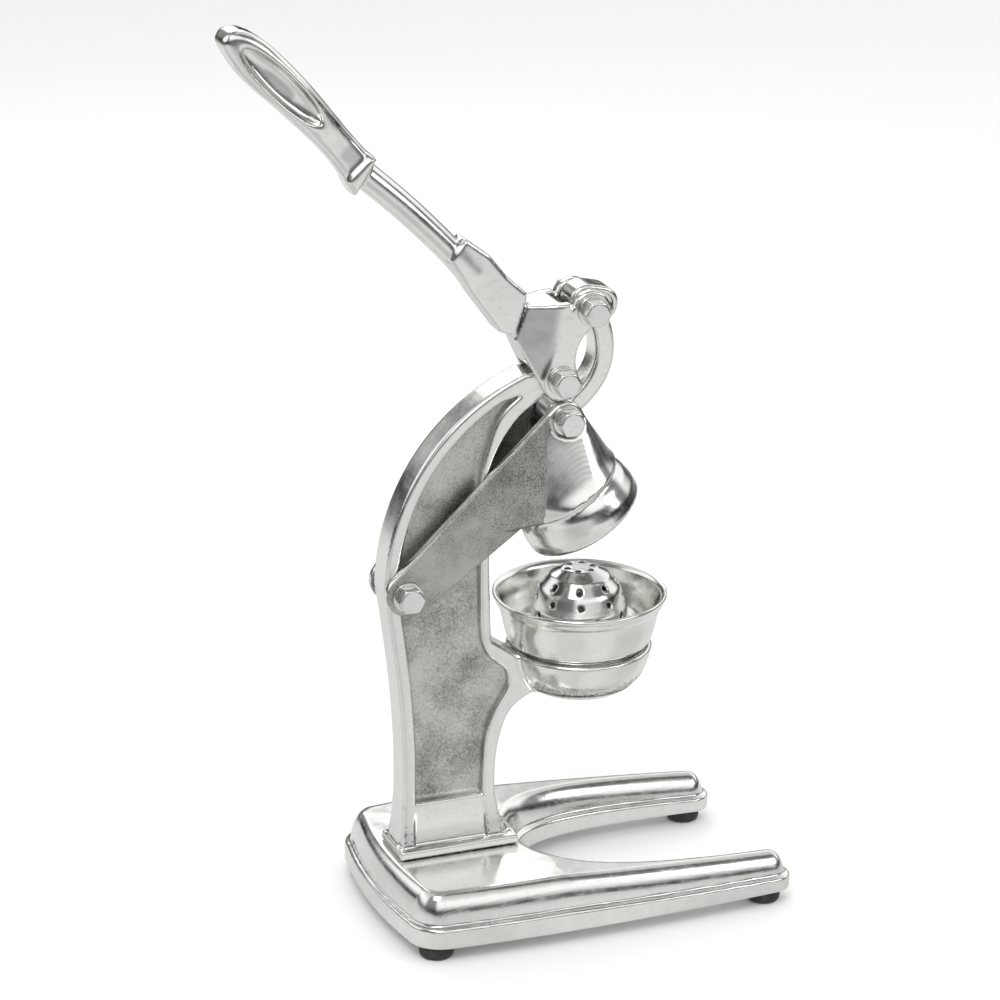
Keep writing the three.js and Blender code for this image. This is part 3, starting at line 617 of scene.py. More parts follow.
def shared(name):
    """A shader group or material, made the first time it is asked for."""
    if name in bpy.data.node_groups:
        return bpy.data.node_groups[name]
    if name in bpy.data.materials:
        return bpy.data.materials[name]
    colours = bpy.context.scene.press_colours
    makers = {
        "hand_polish": polish_group, "sand_casting": cast_group, "moulded_rubber": rubber,
        "mirror_polish": lambda: polished("mirror_polish", colours.polished, 0.17, 0.16, 0.16),
        "ground_casting": lambda: half_cast(
            "ground_casting", colours.polished, colours.cast, colours.cast_dark, 0.2, 0.14, 0.75
        ),
        "arm_casting": lambda: half_cast(
            "arm_casting", colours.polished, tuple(0.8 * c for c in colours.cast),
            tuple(0.8 * c for c in colours.cast_dark), 0.15, 0.12, 0.8
        ), "bright_plate": lambda: polished("bright_plate", colours.plated, 0.2, 0.1, 0.2),
        "pressed_stainless": lambda: polished("pressed_stainless", colours.stainless, 0.16, 0.06, 0.14),
    }
    return makers[name]()


# ---- outlines of the castings
def horseshoe():
    """The base seen from above."""
    side_y = BASE_HALF - 3
    tip_y = (BASE_HALF - 5 + NOTCH_HALF) / 2
    tip_x = BASE_FRONT - TIP_RADIUS
    corner_x = BASE_REAR + REAR_BULGE + BASE_CORNER

    def arc(x, y, radius, start, end, steps):
        t = np.radians(np.linspace(start, end, steps))
        return np.stack([x + radius * np.cos(t), y + radius * np.sin(t)], 1)

    t = np.linspace(0, 1, 25)[1:-1, None]
    a, b, c = np.array([corner_x, side_y]), np.array([40, BASE_HALF + 3.5]), np.array(
        [tip_x, tip_y + TIP_RADIUS]
    )
    side = (1 - t) ** 2 * a + 2 * t * (1 - t) * b + t**2 * c
    t = np.linspace(0, 1, 41)[1:, None]
    p, q = np.array([tip_x, tip_y - TIP_RADIUS]), np.array([NOTCH_REAR + 31, NOTCH_HALF + 6])
    r, s = np.array([NOTCH_REAR, NOTCH_HALF - 6]), np.array([NOTCH_REAR, 0])
    inner = (1 - t) ** 3 * p + 3 * (1 - t) ** 2 * t * q + 3 * (1 - t) * t**2 * r + t**3 * s
    rear = np.array(
        [[BASE_REAR + REAR_BULGE * u * u, u * (side_y - BASE_CORNER)] for u in np.linspace(0, 0.98, 12)]
    )
    half = np.concatenate([rear, arc(corner_x, side_y - BASE_CORNER, BASE_CORNER, 180, 90, 14), side,
                           arc(tip_x, tip_y, TIP_RADIUS, 90, -90, 24), inner])
    return np.concatenate([half, half[1:-1][::-1] * [1, -1]])


def frame_arc(margin):
    """The round back of the frame, or a line that far inside it."""
    t = math.pi - np.linspace(0, ARC_SPAN, 41)
    radius = ARC_RADIUS - margin
    return np.stack([ARC_CENTRE[0] + radius * np.cos(t), ARC_CENTRE[1] + radius * np.sin(t)], 1)


def frame_outlines():
    """The side of the frame and the hollow in its side."""
    lx, lz = LEVER_PIVOT
    rear = spline(
        [
            [-53.6, PLATE_TOP - 1], [COLUMN_REAR - 1.2, PLATE_TOP + 6], [COLUMN_REAR, PLATE_TOP + 18],
            [COLUMN_REAR + 0.2, 100], [COLUMN_REAR - 3, 145], [ARC_CENTRE[0] - ARC_RADIUS, ARC_CENTRE[1]]
        ], 40
    )
    front = spline(
        [
            [lx - 9, lz - 11], [lx - 23, lz - 21], [lx - 34, lz - 36], [COLUMN_FRONT - 3, lz - 54],
            [COLUMN_FRONT - 3, 235], [COLUMN_FRONT - 2, 190], [COLUMN_FRONT - 1, 164]
        ], 48
    )
    neck = np.array([[COLUMN_FRONT + 6, 159], [CUP_X - HOLDER_RADIUS + 8, 148]])
    under = spline(
        [
            [CUP_X - HOLDER_RADIUS + 14, HOLDER_FLOOR + 5], [COLUMN_FRONT + 12, 121],
            [COLUMN_FRONT + 5, 106], [COLUMN_FRONT + 2, 88], [COLUMN_FRONT + 2, PLATE_TOP + 24],
            [COLUMN_FRONT + 6, PLATE_TOP + 8], [17.6, PLATE_TOP - 1]
        ], 44
    )
    side = np.concatenate([rear, frame_arc(0)[1:], [[lx, lz + 4]], front, neck, under])
    pocket_rear = spline(
        [
            [COLUMN_REAR + FLANGE, PLATE_TOP + 26], [COLUMN_REAR + FLANGE, 100],
            [COLUMN_REAR + FLANGE - 3, 145], [ARC_CENTRE[0] - ARC_RADIUS + FLANGE, ARC_CENTRE[1]]
        ], 24
    )
    pocket_front = spline(
        [
            [lx - 22, lz - 8], [lx - 34, lz - 19], [COLUMN_FRONT - 4, lz - 37], [COLUMN_FRONT - 8.5, 255],
            [COLUMN_FRONT - 8, 200], [COLUMN_FRONT - 7, 167], [COLUMN_FRONT - 2, 154]
        ], 40
    )
    pocket_neck = spline(
        [
            [COLUMN_FRONT + 8, 145], [COLUMN_FRONT + 9, 136], [COLUMN_FRONT + 1, 122],
            [COLUMN_FRONT - 4, 106], [COLUMN_FRONT - 5.5, 88], [COLUMN_FRONT - 6, PLATE_TOP + 26]
        ], 30
    )
    pocket = np.concatenate([pocket_rear, frame_arc(FLANGE)[1:36], pocket_front, pocket_neck])
    return side, pocket


def turn_point(x, z, about, angle):
    """A point turned about a line along y, positive from z towards x."""
    cos, sin = math.cos(angle), math.sin(angle)
    dx, dz = x - about[0], z - about[1]
    return about[0] + dx * cos + dz * sin, about[1] - dx * sin + dz * cos


# ---- settings
class PressSizes(bpy.types.PropertyGroup):
    """Sizes a user would change."""

    cell: FloatProperty(
        name="Cell", description="Spacing of the castings' surface points, in millimetres", default=0.9,
        min=0.5, max=2.0
    )
    edge: FloatProperty(
        name="Edge rounding", description="Rounding of the castings' outer edges, in millimetres",
        default=1.7, min=0.5, max=3.0
    )
    fillet: FloatProperty(
        name="Fillet", description="Fillet where the walls of a casting meet, in millimetres",
        default=4.0, min=1.0, max=8.0
    )
    hole_radius: FloatProperty(
        name="Strainer hole", description="Radius of the strainer's holes, in millimetres", default=1.75,
        min=0.8, max=2.5
    )
    dish_depth: FloatProperty(
        name="Grip dish", description="Depth of the dish in each side of the grip, in millimetres",
        default=5.0, min=1.0, max=7.0
    )
    turned_steps: IntProperty(
        name="Turned steps", description="Faces round each turned piece", default=128, min=32, max=256
    )


class PressColours(bpy.types.PropertyGroup):
    """Colours of the finishes."""

    polished: FloatVectorProperty(
        name="Polished metal", description="Colour of the polished aluminium", subtype="COLOR",
        default=(0.83, 0.83, 0.805)
    )
    cast: FloatVectorProperty(
        name="Cast skin", description="Light colour of the sand-cast skin", subtype="COLOR",
        default=(0.70, 0.70, 0.665)
    )
    cast_dark: FloatVectorProperty(
        name="Cast pits", description="Dark colour of the sand-cast skin", subtype="COLOR",
        default=(0.20, 0.20, 0.185)
    )
    plated: FloatVectorProperty(
        name="Plated steel", description="Colour of bolts and nuts", subtype="COLOR",
        default=(0.80, 0.80, 0.78)
    )
    stainless: FloatVectorProperty(
        name="Stainless steel", description="Colour of the strainer", subtype="COLOR",
        default=(0.77, 0.77, 0.75)
    )
    rubber: FloatVectorProperty(
        name="Rubber", description="Colour of the feet", subtype="COLOR", default=(0.012, 0.012, 0.014)
    )


class PressOperator(bpy.types.Operator):
    """Shared by the press's operators."""

    bl_options = {"INTERNAL"}

    def execute(self, context):
        self.make(context.scene.press_sizes)
        return {"FINISHED"}


class MakeBase(PressOperator):
    """Makes the horseshoe base with its skirt, hollow and bosses."""

    bl_idname = "press.make_base"
    bl_label = "Base"

    def make(self, sizes):
        space = Space((BASE_REAR, -BASE_HALF, SKIRT_FOOT), (BASE_FRONT, BASE_HALF, BASE_TOP), sizes.cell)
        share = np.clip((space.x - NOTCH_REAR) / (BASE_FRONT - NOTCH_REAR), 0, 1)
        z = SKIRT_FOOT + (space.z - SKIRT_FOOT) / (1 - TIP_LOWERING * share)
        rim = outline_distance(horseshoe(), space.x, space.y)
        skirt = both(rim, np.maximum(SKIRT_FOOT - z, z - SKIRT_TOP), 2.2)
        ledge, lean, low = 3.2, 9.2, SKIRT_TOP - 5
        across = np.maximum(lean + ledge + rim, 0) / lean
        up = np.maximum(z - low, 0) / (BASE_TOP - low)
        dome = (np.sqrt(across**2 + up**2.2) - 1) * 11
        dome = np.maximum(dome, SKIRT_FOOT - z)
        body = either(skirt, dome, 1.6)
        hollow = both(rim + 4.2, z - (SKIRT_TOP - 3.5), 1.5)
        middle = (BASE_REAR + NOTCH_REAR) / 2
        wide = (np.hypot((space.x - middle) / 36, space.y / 44) - 1) * 36
        hollow = either(hollow, both(wide, space.z - (BASE_TOP - 7), 2), 1)
        body = less(body, hollow, 1)
        for x, y in FOOT_SPOTS:
            for side in (-1, 1):
                body = either(body, space.pin_z((x, y * side), 6.5, SKIRT_FOOT, SKIRT_TOP - 3, 0.6), 1.5)
                body = less(body, space.pin_z((x, y * side), FOOT_HOLE, SKIRT_FOOT - 2, SKIRT_TOP - 4.4))
        for x in COLUMN_BOLT_X:
            body = either(body, space.pin_z((x, 0), 9, BASE_TOP - COLUMN_BOSS_DROP, BASE_TOP - 6, 0.6), 1.5)
            body = less(body, space.pin_z((x, 0), COLUMN_HOLE, SKIRT_FOOT - 2, BASE_TOP + 2))
        piece = mesh_piece("base", *relax(*space.skin(body), 3))
        settle(piece, "mirror_polish", "frame", "polished_aluminium", "base_casting")


class MakeFeet(PressOperator):
    """Makes the rubber feet and the screws that hold them."""

    bl_idname = "press.make_feet"
    bl_label = "Feet"

    def make(self, sizes):
        top = SKIRT_FOOT - SEAT_GAP
        for where, (x, y) in zip(("rear", "front"), FOOT_SPOTS):
            for side, word in ((-1, "right"), (1, "left")):
                profile = rounded(
                    [
                        (FOOT_HOLE, 2.6), (4.1, 2.6), (4.1, 0), (8.4, 0), (9.4, 0.8), (10, 3),
                        (9.6, top - 0.8), (8.8, top), (FOOT_HOLE, top)
                    ], 0.35
                )
                foot = lathe(f"rubber_foot_{where}_{word}", profile, (x, y * side), 64)
                settle(foot, "moulded_rubber", "frame", "black_rubber", f"foot_{where}_{word}")
                space = Space((x - 4, y * side - 4, 0.5), (x + 4, y * side + 4, 15), 0.3)
                head = space.turned(
                    rounded(
                        [
                            (0, 0.5), (2.8, 0.5), (3.8, 1.2), (3.8, 2.3), (2, 2.3), (2, 14), (1, 15),
                            (0, 15)
                        ], 0.2
                    ), (x, y * side)
                )
                slot = space.box((x - 5, y * side - 0.5, -1), (x + 5, y * side + 0.5, 1.3))
                screw = mesh_piece(f"slotted_screw_{where}_{word}", *space.skin(less(head, slot)))
                settle(screw, "bright_plate", "frame", "plated_steel", f"foot_screw_{where}_{word}")


class MakeColumnFixings(PressOperator):
    """Makes the bolts and washers under the column."""

    bl_idname = "press.make_column_fixings"
    bl_label = "Column fixings"

    def make(self, sizes):
        washer_top = BASE_TOP - COLUMN_BOSS_DROP - SEAT_GAP
        for where, x in zip(("rear", "front"), COLUMN_BOLT_X):
            ring = rounded(
                [
                    (COLUMN_HOLE, washer_top - 1.4), (6.5, washer_top - 1.4), (6.5, washer_top),
                    (COLUMN_HOLE, washer_top)
                ], 0.3
            )
            washer = lathe(f"flat_washer_{where}", ring, (x, 0), 48)
            settle(washer, "bright_plate", "frame", "plated_steel", f"column_washer_{where}")
            head_top = washer_top - 1.4 - SEAT_GAP
            space = Space((x - 6, -6, head_top - 4), (x + 6, 6, 49), 0.4)
            hexagon = space.slab(circle((x, 0), 10 / math.sqrt(3), 6), head_top - 4, head_top, 0.4)
            shank = space.pin_z((x, 0), 3, head_top - 1, 48.8, 0.4)
            bolt = mesh_piece(f"hex_bolt_{where}", *space.skin(either(hexagon, shank)))
            settle(bolt, "bright_plate", "frame", "plated_steel", f"column_bolt_{where}")


class MakeFrame(PressOperator):
    """Makes the C-shaped frame with its ribs, foot and cup holder."""

    bl_idname = "press.make_frame"
    bl_label = "Frame"

    def make(self, sizes):
        space = Space(
            (-62, -HOLDER_RADIUS, PLATE_LOW), (CUP_X + HOLDER_RADIUS, HOLDER_RADIUS, 330), sizes.cell
        )
        side, pocket = frame_outlines()
        outer = outline_distance(side, space.x, space.z)
        body = both(outer, np.abs(space.y) - FRAME_HALF, sizes.edge)
        boss = space.pin_y(LEVER_PIVOT, BOSS_RADIUS, -FRAME_HALF, FRAME_HALF, sizes.edge)
        body = either(body, boss, 2)
        inner = outline_distance(pocket, space.x, space.z)
        hollow = both(inner, WEB_HALF - np.abs(space.y), 3.2)
        body = less(body, hollow, 1.6)
        rear_boss = both(
            space.pin_y(ARM_PIVOT, BOSS_RADIUS, -FRAME_HALF, FRAME_HALF, sizes.edge), outer, sizes.edge
        )
        body = either(body, rear_boss, 2)
        foot = space.box((PLATE_REAR, -PLATE_HALF, PLATE_LOW), (PLATE_FRONT, PLATE_HALF, PLATE_TOP), 1.2)
        flare = space.hull(
            [
                (x, y * s, z)
                for x, y, z in (
                    (COLUMN_REAR + 7, WEB_HALF, PLATE_TOP + 25),
                    (COLUMN_FRONT - 6, WEB_HALF, PLATE_TOP + 25), (COLUMN_REAR + 5, 12, PLATE_TOP - 0.5),
                    (COLUMN_FRONT - 3, 12, PLATE_TOP - 0.5), (COLUMN_REAR + 5, 11.4, PLATE_TOP + 2),
                    (COLUMN_FRONT - 3, 11.4, PLATE_TOP + 2)
                ) for s in (-1, 1)
            ], 0.8
        )
        splay = space.hull(
            [
                (x, y * s, z)
                for x, y, z in (
                    (COLUMN_REAR, FRAME_HALF - 1, PLATE_TOP + 24),
                    (COLUMN_FRONT + 2, FRAME_HALF - 1, PLATE_TOP + 24), (COLUMN_REAR - 1, 14, PLATE_TOP),
                    (COLUMN_FRONT + 6, 14, PLATE_TOP)
                ) for s in (-1, 1)
            ], 0.8
        )
        between = space.box(
            (COLUMN_REAR + 6, -30, PLATE_TOP - 1), (COLUMN_FRONT - 4.5, 30, PLATE_TOP + 40), 1
        )
        flare = either(flare, less(both(splay, outer, 1), between, 1), 0.8)
        body = either(body, either(foot, flare, 1.5), 2.2)
        r = HOLDER_RADIUS
        bowl_profile = np.concatenate(
            [
                [(0, HOLDER_FLOOR)],
                spline(
                    [
                        (r * 0.45, HOLDER_FLOOR), (r * 0.62, HOLDER_FLOOR + 0.8),
                        (r * 0.76, HOLDER_FLOOR + 4), (r * 0.89, HOLDER_FLOOR + 11),
                        (r * 0.97, HOLDER_FLOOR + 20), (r, HOLDER_TOP - 2.2)
                    ], 30
                ), [(r - 1.6, HOLDER_TOP - 0.4), (r - 2.2, HOLDER_TOP - 1.2), (0, HOLDER_TOP - 1.2)]
            ]
        )
        bowl = space.turned(bowl_profile, (CUP_X, 0))
        neck = space.plate(
            [
                (COLUMN_FRONT - 2, 157), (CUP_X - r + 8, 148), (CUP_X - r + 22, HOLDER_FLOOR + 2),
                (COLUMN_FRONT + 14, HOLDER_FLOOR + 3), (COLUMN_FRONT + 5, 118), (COLUMN_FRONT - 2, 124)
            ], WEB_HALF, 0.5
        )
        body = either(body, either(bowl, neck, 3), sizes.fillet)
        seat = SPIGOT_RADIUS + 0.6
        floor = CUP_FLOOR - SEAT_GAP - CUP_WALL
        seat_profile = rounded(
            [
                (0, floor), (seat - 5, floor), (seat - 1, CUP_FLOOR + 5), (seat, HOLDER_TOP + 6),
                (0, HOLDER_TOP + 6)
            ], 1
        )
        body = less(body, space.turned(seat_profile, (CUP_X, 0)), 0.6)
        body = less(body, space.pin_z((CUP_X, 0), HOLDER_HOLE, HOLDER_FLOOR - 5, HOLDER_FLOOR + 20), 0.8)
        body = less(body, space.pin_z((CUP_X, 0), r + 0.3, HOLDER_TOP, HOLDER_TOP + 50))
        for pivot in (ARM_PIVOT, LEVER_PIVOT):
            body = less(body, space.pin_y(pivot, BOLT_RADIUS + BOLT_CLEAR))
        for x in COLUMN_BOLT_X:
            body = less(body, space.pin_z((x, 0), COLUMN_HOLE, 30, PLATE_LOW + 11))
        points, faces = relax(*space.skin(body), 2)
        piece = mesh_piece("column_and_holder", points, faces)
        x, y, z = points.T
        web = np.clip((FRAME_HALF - 1.2 - np.abs(y)) / 1.6, 0, 1)
        deep = outline_distance(pocket, x, z) < 1.5
        paint(piece, "as_cast", np.where(deep, web, 0))
        settle(piece, "ground_casting", "frame", "cast_aluminium", "frame_casting")


class MakeArm(PressOperator):
    """Makes the press arm: two cheeks, a hood and the bell under it."""

    bl_idname = "press.make_arm"
    bl_label = "Press arm"

    def make(self, sizes):
        ax, az = ARM_PIVOT

        def raised(x, z):
            return turn_point(x, z, ARM_PIVOT, -ARM_TURN)

        space = Space((-62, -36, 186), (96, 36, 304), sizes.cell)
        bar = hull_of(
            np.concatenate(
                [
                    circle(ARM_PIVOT, 12), circle(LINK_LOW, 10.5),
                    [(ax + 14, az - 8), (ax + 55, az + 30.5), raised(CUP_X - 30, BELL_MOUTH + 26)]
                ]
            )
        )
        cheeks = space.plate(bar, CHEEK_OUT, sizes.edge)
        eye = turn_point(*LINK_LOW, ARM_PIVOT, ARM_TURN)
        brow = BELL_RADIUS - 2
        ring = [(*raised(CUP_X + brow * math.cos(t), BELL_MOUTH + BELL_STRAIGHT), brow * math.sin(t))
                for t in np.linspace(0, 2 * math.pi, 120, endpoint=False)]
        yoke = [raised(eye[0] + x, eye[1] + z) for x, z in ((-8, 6.5), (8, 6.5), (10.5, -1))]
        back = [raised(CUP_X - 47, BELL_MOUTH + 31), raised(CUP_X - 50, BELL_MOUTH + 52)]
        spots = [(x, y, z) for x, z, y in ring] + [
            (x, s * CHEEK_OUT, z) for x, z in yoke + back for s in (-1, 1)
        ]
        hood = space.hull(spots, 1.4)
        bell_profile = rounded(
            [
                (0, BELL_MOUTH), (BELL_RADIUS, BELL_MOUTH), (BELL_RADIUS, BELL_MOUTH + 8),
                (BELL_RADIUS - 1.5, BELL_MOUTH + 16), (BELL_RADIUS - 5, BELL_MOUTH + 24),
                (0, BELL_MOUTH + 24)
            ], 1.5
        )
        bell = space.turned(bell_profile, (CUP_X, 0), -ARM_TURN, ARM_PIVOT)
        body = either(either(cheeks, hood, 2.5), bell, 9)
        roof = BELL_MOUTH + BELL_HEIGHT
        gap = [
            raised(*p)
            for p in (
                (CUP_X - BELL_RADIUS - 3, BELL_MOUTH - 40), (CUP_X - BELL_RADIUS - 3, roof - 8),
                (CUP_X - BELL_RADIUS + 5, roof), (CUP_X + BELL_RADIUS + 20, roof),
                (CUP_X + BELL_RADIUS + 20, roof + 120), (ax - 60, roof + 120), (ax - 60, BELL_MOUTH - 40)
            )
        ]
        body = less(body, space.plate(gap, CHEEK_IN, 1.5), 1.2)
        inside, top = BELL_RADIUS - BELL_WALL, BELL_MOUTH + BELL_HEIGHT - 8
        dome = spline(
            [
                (inside, BELL_MOUTH + 6), (inside * 0.965, BELL_MOUTH + 17),
                (inside * 0.83, BELL_MOUTH + 26), (inside * 0.6, top - 4.5), (inside * 0.3, top - 0.8),
                (0, top)
            ], 30
        )
        cavity = np.concatenate([[(0, BELL_MOUTH - 6), (inside, BELL_MOUTH - 6)], dome])
        body = less(body, space.turned(cavity, (CUP_X, 0), -ARM_TURN, ARM_PIVOT), 0.8)
        for low, high in ((CHEEK_OUT, 60), (-60, -CHEEK_OUT)):
            body = less(body, space.pin_y(LINK_LOW, WASHER_RADIUS + 0.9, low, high), 0.5)
        for pivot in (ARM_PIVOT, LINK_LOW):
            body = less(body, space.pin_y(pivot, BOLT_RADIUS + BOLT_CLEAR))
        points, faces = relax(*space.skin(body), 14)
        piece = mesh_piece("arm_and_bell", points, faces)
        normals = np.zeros(3 * len(points), np.float32)
        piece.data.vertex_normals.foreach_get("vector", normals)
        x, y, z = points.T
        sideways = np.abs(normals.reshape(-1, 3)[:, 1])
        rear = np.clip((34 - 0.11 * (LINK_LOW[1] - z) - x) / 1.5, 0, 1)
        paint(
            piece, "as_cast",
            rear * np.maximum(np.clip((sideways - 0.3) / 0.3, 0, 1), np.abs(y) < CHEEK_IN + 0.5)
        )
        settle(piece, "arm_casting", "press_arm", "cast_aluminium", "press_arm")


class MakeLink(PressOperator):
    """Makes the curved drive link with its round and slotted eyes."""

    bl_idname = "press.make_link"
    bl_label = "Drive link"

    def make(self, sizes):
        low, top = np.array(LINK_LOW), np.array(LINK_TOP)
        up = (top - low) / np.linalg.norm(top - low)
        across = np.array([up[1], -up[0]])
        t = np.linspace(0, 1, 41)[:, None]
        middle, end = (low + top) / 2 + across * LINK_BULGE, top + across * SLOT_ACROSS / 2
        spine = (1 - t) ** 2 * low + 2 * t * (1 - t) * middle + t**2 * end
        space = Space((30, -LINK_HALF, 278), (86, LINK_HALF, 374), 0.65)
        flat = np.full(space.shape, 1e3, np.float32)
        for a, b in zip(spine[:-1:2], spine[2::2]):
            e = b - a
            s = np.clip(((space.x - a[0]) * e[0] + (space.z - a[1]) * e[1]) / (e @ e), 0, 1)
            flat = np.minimum(
                flat, np.hypot(space.x - a[0] - e[0] * s, space.z - a[1] - e[1] * s) - LINK_BAND
            )
        band = both(flat, np.abs(space.y) - LINK_HALF, 2.4)
        body = either(band, space.pin_y(LINK_LOW, LINK_EYE, -LINK_HALF, LINK_HALF, 1.2), 2)
        slot_low = top + up * 2.2
        ends = [slot_low, slot_low + across * SLOT_ACROSS]

        def stadium(radius):
            return hull_of(np.concatenate([circle(p, radius, 48) for p in ends]))

        body = either(body, space.plate(stadium(10.1), LINK_HALF, 1.6), 2.5)
        body = less(body, space.plate(stadium(6.5), 20), 0.5)
        body = less(body, space.pin_y(LINK_LOW, BOLT_RADIUS + BOLT_CLEAR), 0.4)
        piece = mesh_piece("curved_link", *relax(*space.skin(body), 2))
        settle(piece, "mirror_polish", "drive_link", "polished_aluminium", "drive_link")


class MakeLever(PressOperator):
    """Makes the lever: forked head, blade, round shaft and dished grip."""

    bl_idname = "press.make_lever"
    bl_label = "Lever"

    def make(self, sizes):
        bx, bz = LEVER_PIVOT
        ax, az = LINK_TOP
        space = Space((-149, -16.4, 302), (72, 16.4, 525), sizes.cell)
        low = circle(LEVER_PIVOT, 11.5)
        bar = hull_of(np.concatenate([circle(LINK_TOP, 11), low]))
        head = hull_of(np.concatenate([low, [(bx - 19, bz + 43), (bx + 5, bz + 44), (bx - 25.5, bz + 24)]]))
        wide = np.abs(space.y)
        behind = (space.x - bx + 20) * 0.988 - (space.z - bz - 43) * 0.15
        block = both(outline_distance(head, space.x, space.z), (wide - 9.5 - 0.38 * behind) * 0.935, 0.5)
        fork = either(outline_distance(bar, space.x, space.z), block, 1.5)
        scallop = space.pin_y(((ax + bx) / 2 + 22, (az + bz) / 2 - 9), 22.5)
        fork = less(both(fork, wide - CHEEK_OUT, 0.9), scallop, 1.5)
        blade = space.plate(
            [
                (bx - 18, bz + 50), (bx - 30, bz + 61), (bx - 40, bz + 73.5), (bx - 54, bz + 84),
                (bx - 63, bz + 72), (bx - 50, bz + 51), (bx - 34, bz + 29), (bx - 18, bz + 24)
            ], 8, 1.8
        )
        body = either(fork, blade, 1.2)
        gap = hull_of(
            np.concatenate(
                [
                    circle(LEVER_PIVOT, 18.2), circle(LINK_TOP, 17),
                    [(ax + 34, az + 8), (ax + 30, bz - 20), (bx - 6, bz - 22), (ax + 2, az + 30)]
                ]
            )
        )
        body = less(body, space.plate(gap, CHEEK_IN, 2), 1)
        line = spline([(-74, 444), (-48, 421), (-24, 397), (-8, 379)], 10)
        shaft = space.tube([(p[0], 0, p[1]) for p in line], np.linspace(7.6, 7.2, len(line)))
        body = either(body, shaft, 3)
        under = spline(
            [(-76, 430.5), (-84, 443), (-95, 457), (-115, 477), (-129, 490), (-139, 501), (-146, 512)], 30
        )
        tip = spline([(-146, 512), (-148, 518), (-144, 523), (-138, 524), (-131, 521.5)], 14)[1:]
        over = spline(
            [(-131, 521.5), (-122, 515), (-108, 501), (-95, 486), (-80, 467), (-64.5, 448.5)], 30
        )[1:]
        outline = np.concatenate([under, tip, over])
        edge = outline_distance(outline, space.x, space.z)
        along = np.array([-1, 1.02]) / math.hypot(1, 1.02)
        middle = np.array([-117.5, 494])
        u = (space.x - middle[0]) * along[0] + (space.z - middle[1]) * along[1]
        v = -(space.x - middle[0]) * along[1] + (space.z - middle[1]) * along[0]
        toward_neck = np.clip((-u - 12) / 40, 0, 1)
        half = 10.3 - 2.6 * toward_neck
        grip = both(edge, np.abs(space.y) - half, 4.6)
        collar = both(edge, np.abs(space.y) - 9.2, 1.6)
        near_collar = (space.x + 71) * 0.66 - (space.z - 440) * 0.75
        grip = either(grip, both(collar, np.abs(near_collar) - 5, 1.5), 4)
        oval = (np.hypot((u + 1.5) / 30.5, v / 7.0) - 1) * 7.0
        for side in (-1, 1):
            depth = side * space.y - (half - sizes.dish_depth)
            bead = np.hypot(oval - 0.6, side * space.y - half + 1.1) - 1.5
            grip = either(grip, bead, 1.6)
            grip = less(grip, both(oval, -depth, 4.2), 0.8)
        body = either(body, grip, 0.8)
        for pivot in (LEVER_PIVOT, LINK_TOP):
            body = less(body, space.pin_y(pivot, BOLT_RADIUS + BOLT_CLEAR))
        points, faces = relax(*space.skin(body), 2)
        low, high = (np.array(corner) / MM - [SHIFT, 0, 0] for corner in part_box("lever"))
        piece = mesh_piece("hand_lever", np.clip(points, low, high), faces)
        settle(piece, "mirror_polish", "lever", "polished_aluminium", "lever")


class MakePivots(PressOperator):
    """Makes the bolts, nuts and washers of the four pivots."""

    bl_idname = "press.make_pivots"
    bl_label = "Pivot bolts"

    def make(self, sizes):
        bodies = {
            "arm_pivot": "frame", "lever_pivot": "frame", "link_top": "lever", "link_low": "press_arm"
        }
        spots = {
            "arm_pivot": ARM_PIVOT, "lever_pivot": LEVER_PIVOT, "link_top": LINK_TOP, "link_low": LINK_LOW
        }
        face = CHEEK_OUT + SEAT_GAP
        seat = face + WASHER_THICK + SEAT_GAP
        end = seat + NUT_HEIGHT + BOLT_TAIL
        space = Space((-8, -seat - HEAD_HEIGHT, -8), (8, end, 8), 0.42)
        crown = HEX_ACROSS / 2 / math.cos(math.pi / 6)
        hexagon = outline_distance(circle((0, 0), crown, 6), space.x, space.z)
        away = np.hypot(space.x, space.z)

        def hex_block(low, high, outer):
            block = both(hexagon, np.maximum(low - space.y, space.y - high), 0.35)
            slope = (away - (HEX_ACROSS / 2 - 0.2)) * 0.5 + (np.abs(space.y) - outer) * 0.866
            return both(block, slope, 0.3)

        shank = space.pin_y((0, 0), BOLT_RADIUS, -seat - 1, end, 0.7)
        bolt_field = either(hex_block(-seat - HEAD_HEIGHT, -seat, seat + HEAD_HEIGHT), shank)
        nut_field = less(
            hex_block(seat, seat + NUT_HEIGHT, seat + NUT_HEIGHT),
            space.pin_y((0, 0), BOLT_RADIUS + BOLT_CLEAR)
        )
        meshes = {"bolt": space.skin(bolt_field), "nut": space.skin(nut_field)}
        for name, body in bodies.items():
            x, z = spots[name]
            for kind, (points, faces) in meshes.items():
                piece = mesh_piece(f"{kind}_of_{name}", points + [x, 0, z], faces)
                settle(piece, "bright_plate", body, "plated_steel", f"{kind}_{name}")
            for side, low in (("right", -face - WASHER_THICK), ("left", face)):
                ring = rounded(
                    [
                        (4.3, low), (WASHER_RADIUS, low), (WASHER_RADIUS, low + WASHER_THICK),
                        (4.3, low + WASHER_THICK)
                    ], 0.35
                )
                washer = lathe(f"{side}_washer_of_{name}", ring, (x, z), 56, "y")
                settle(washer, "bright_plate", body, "plated_steel", f"washer_{side}_{name}")


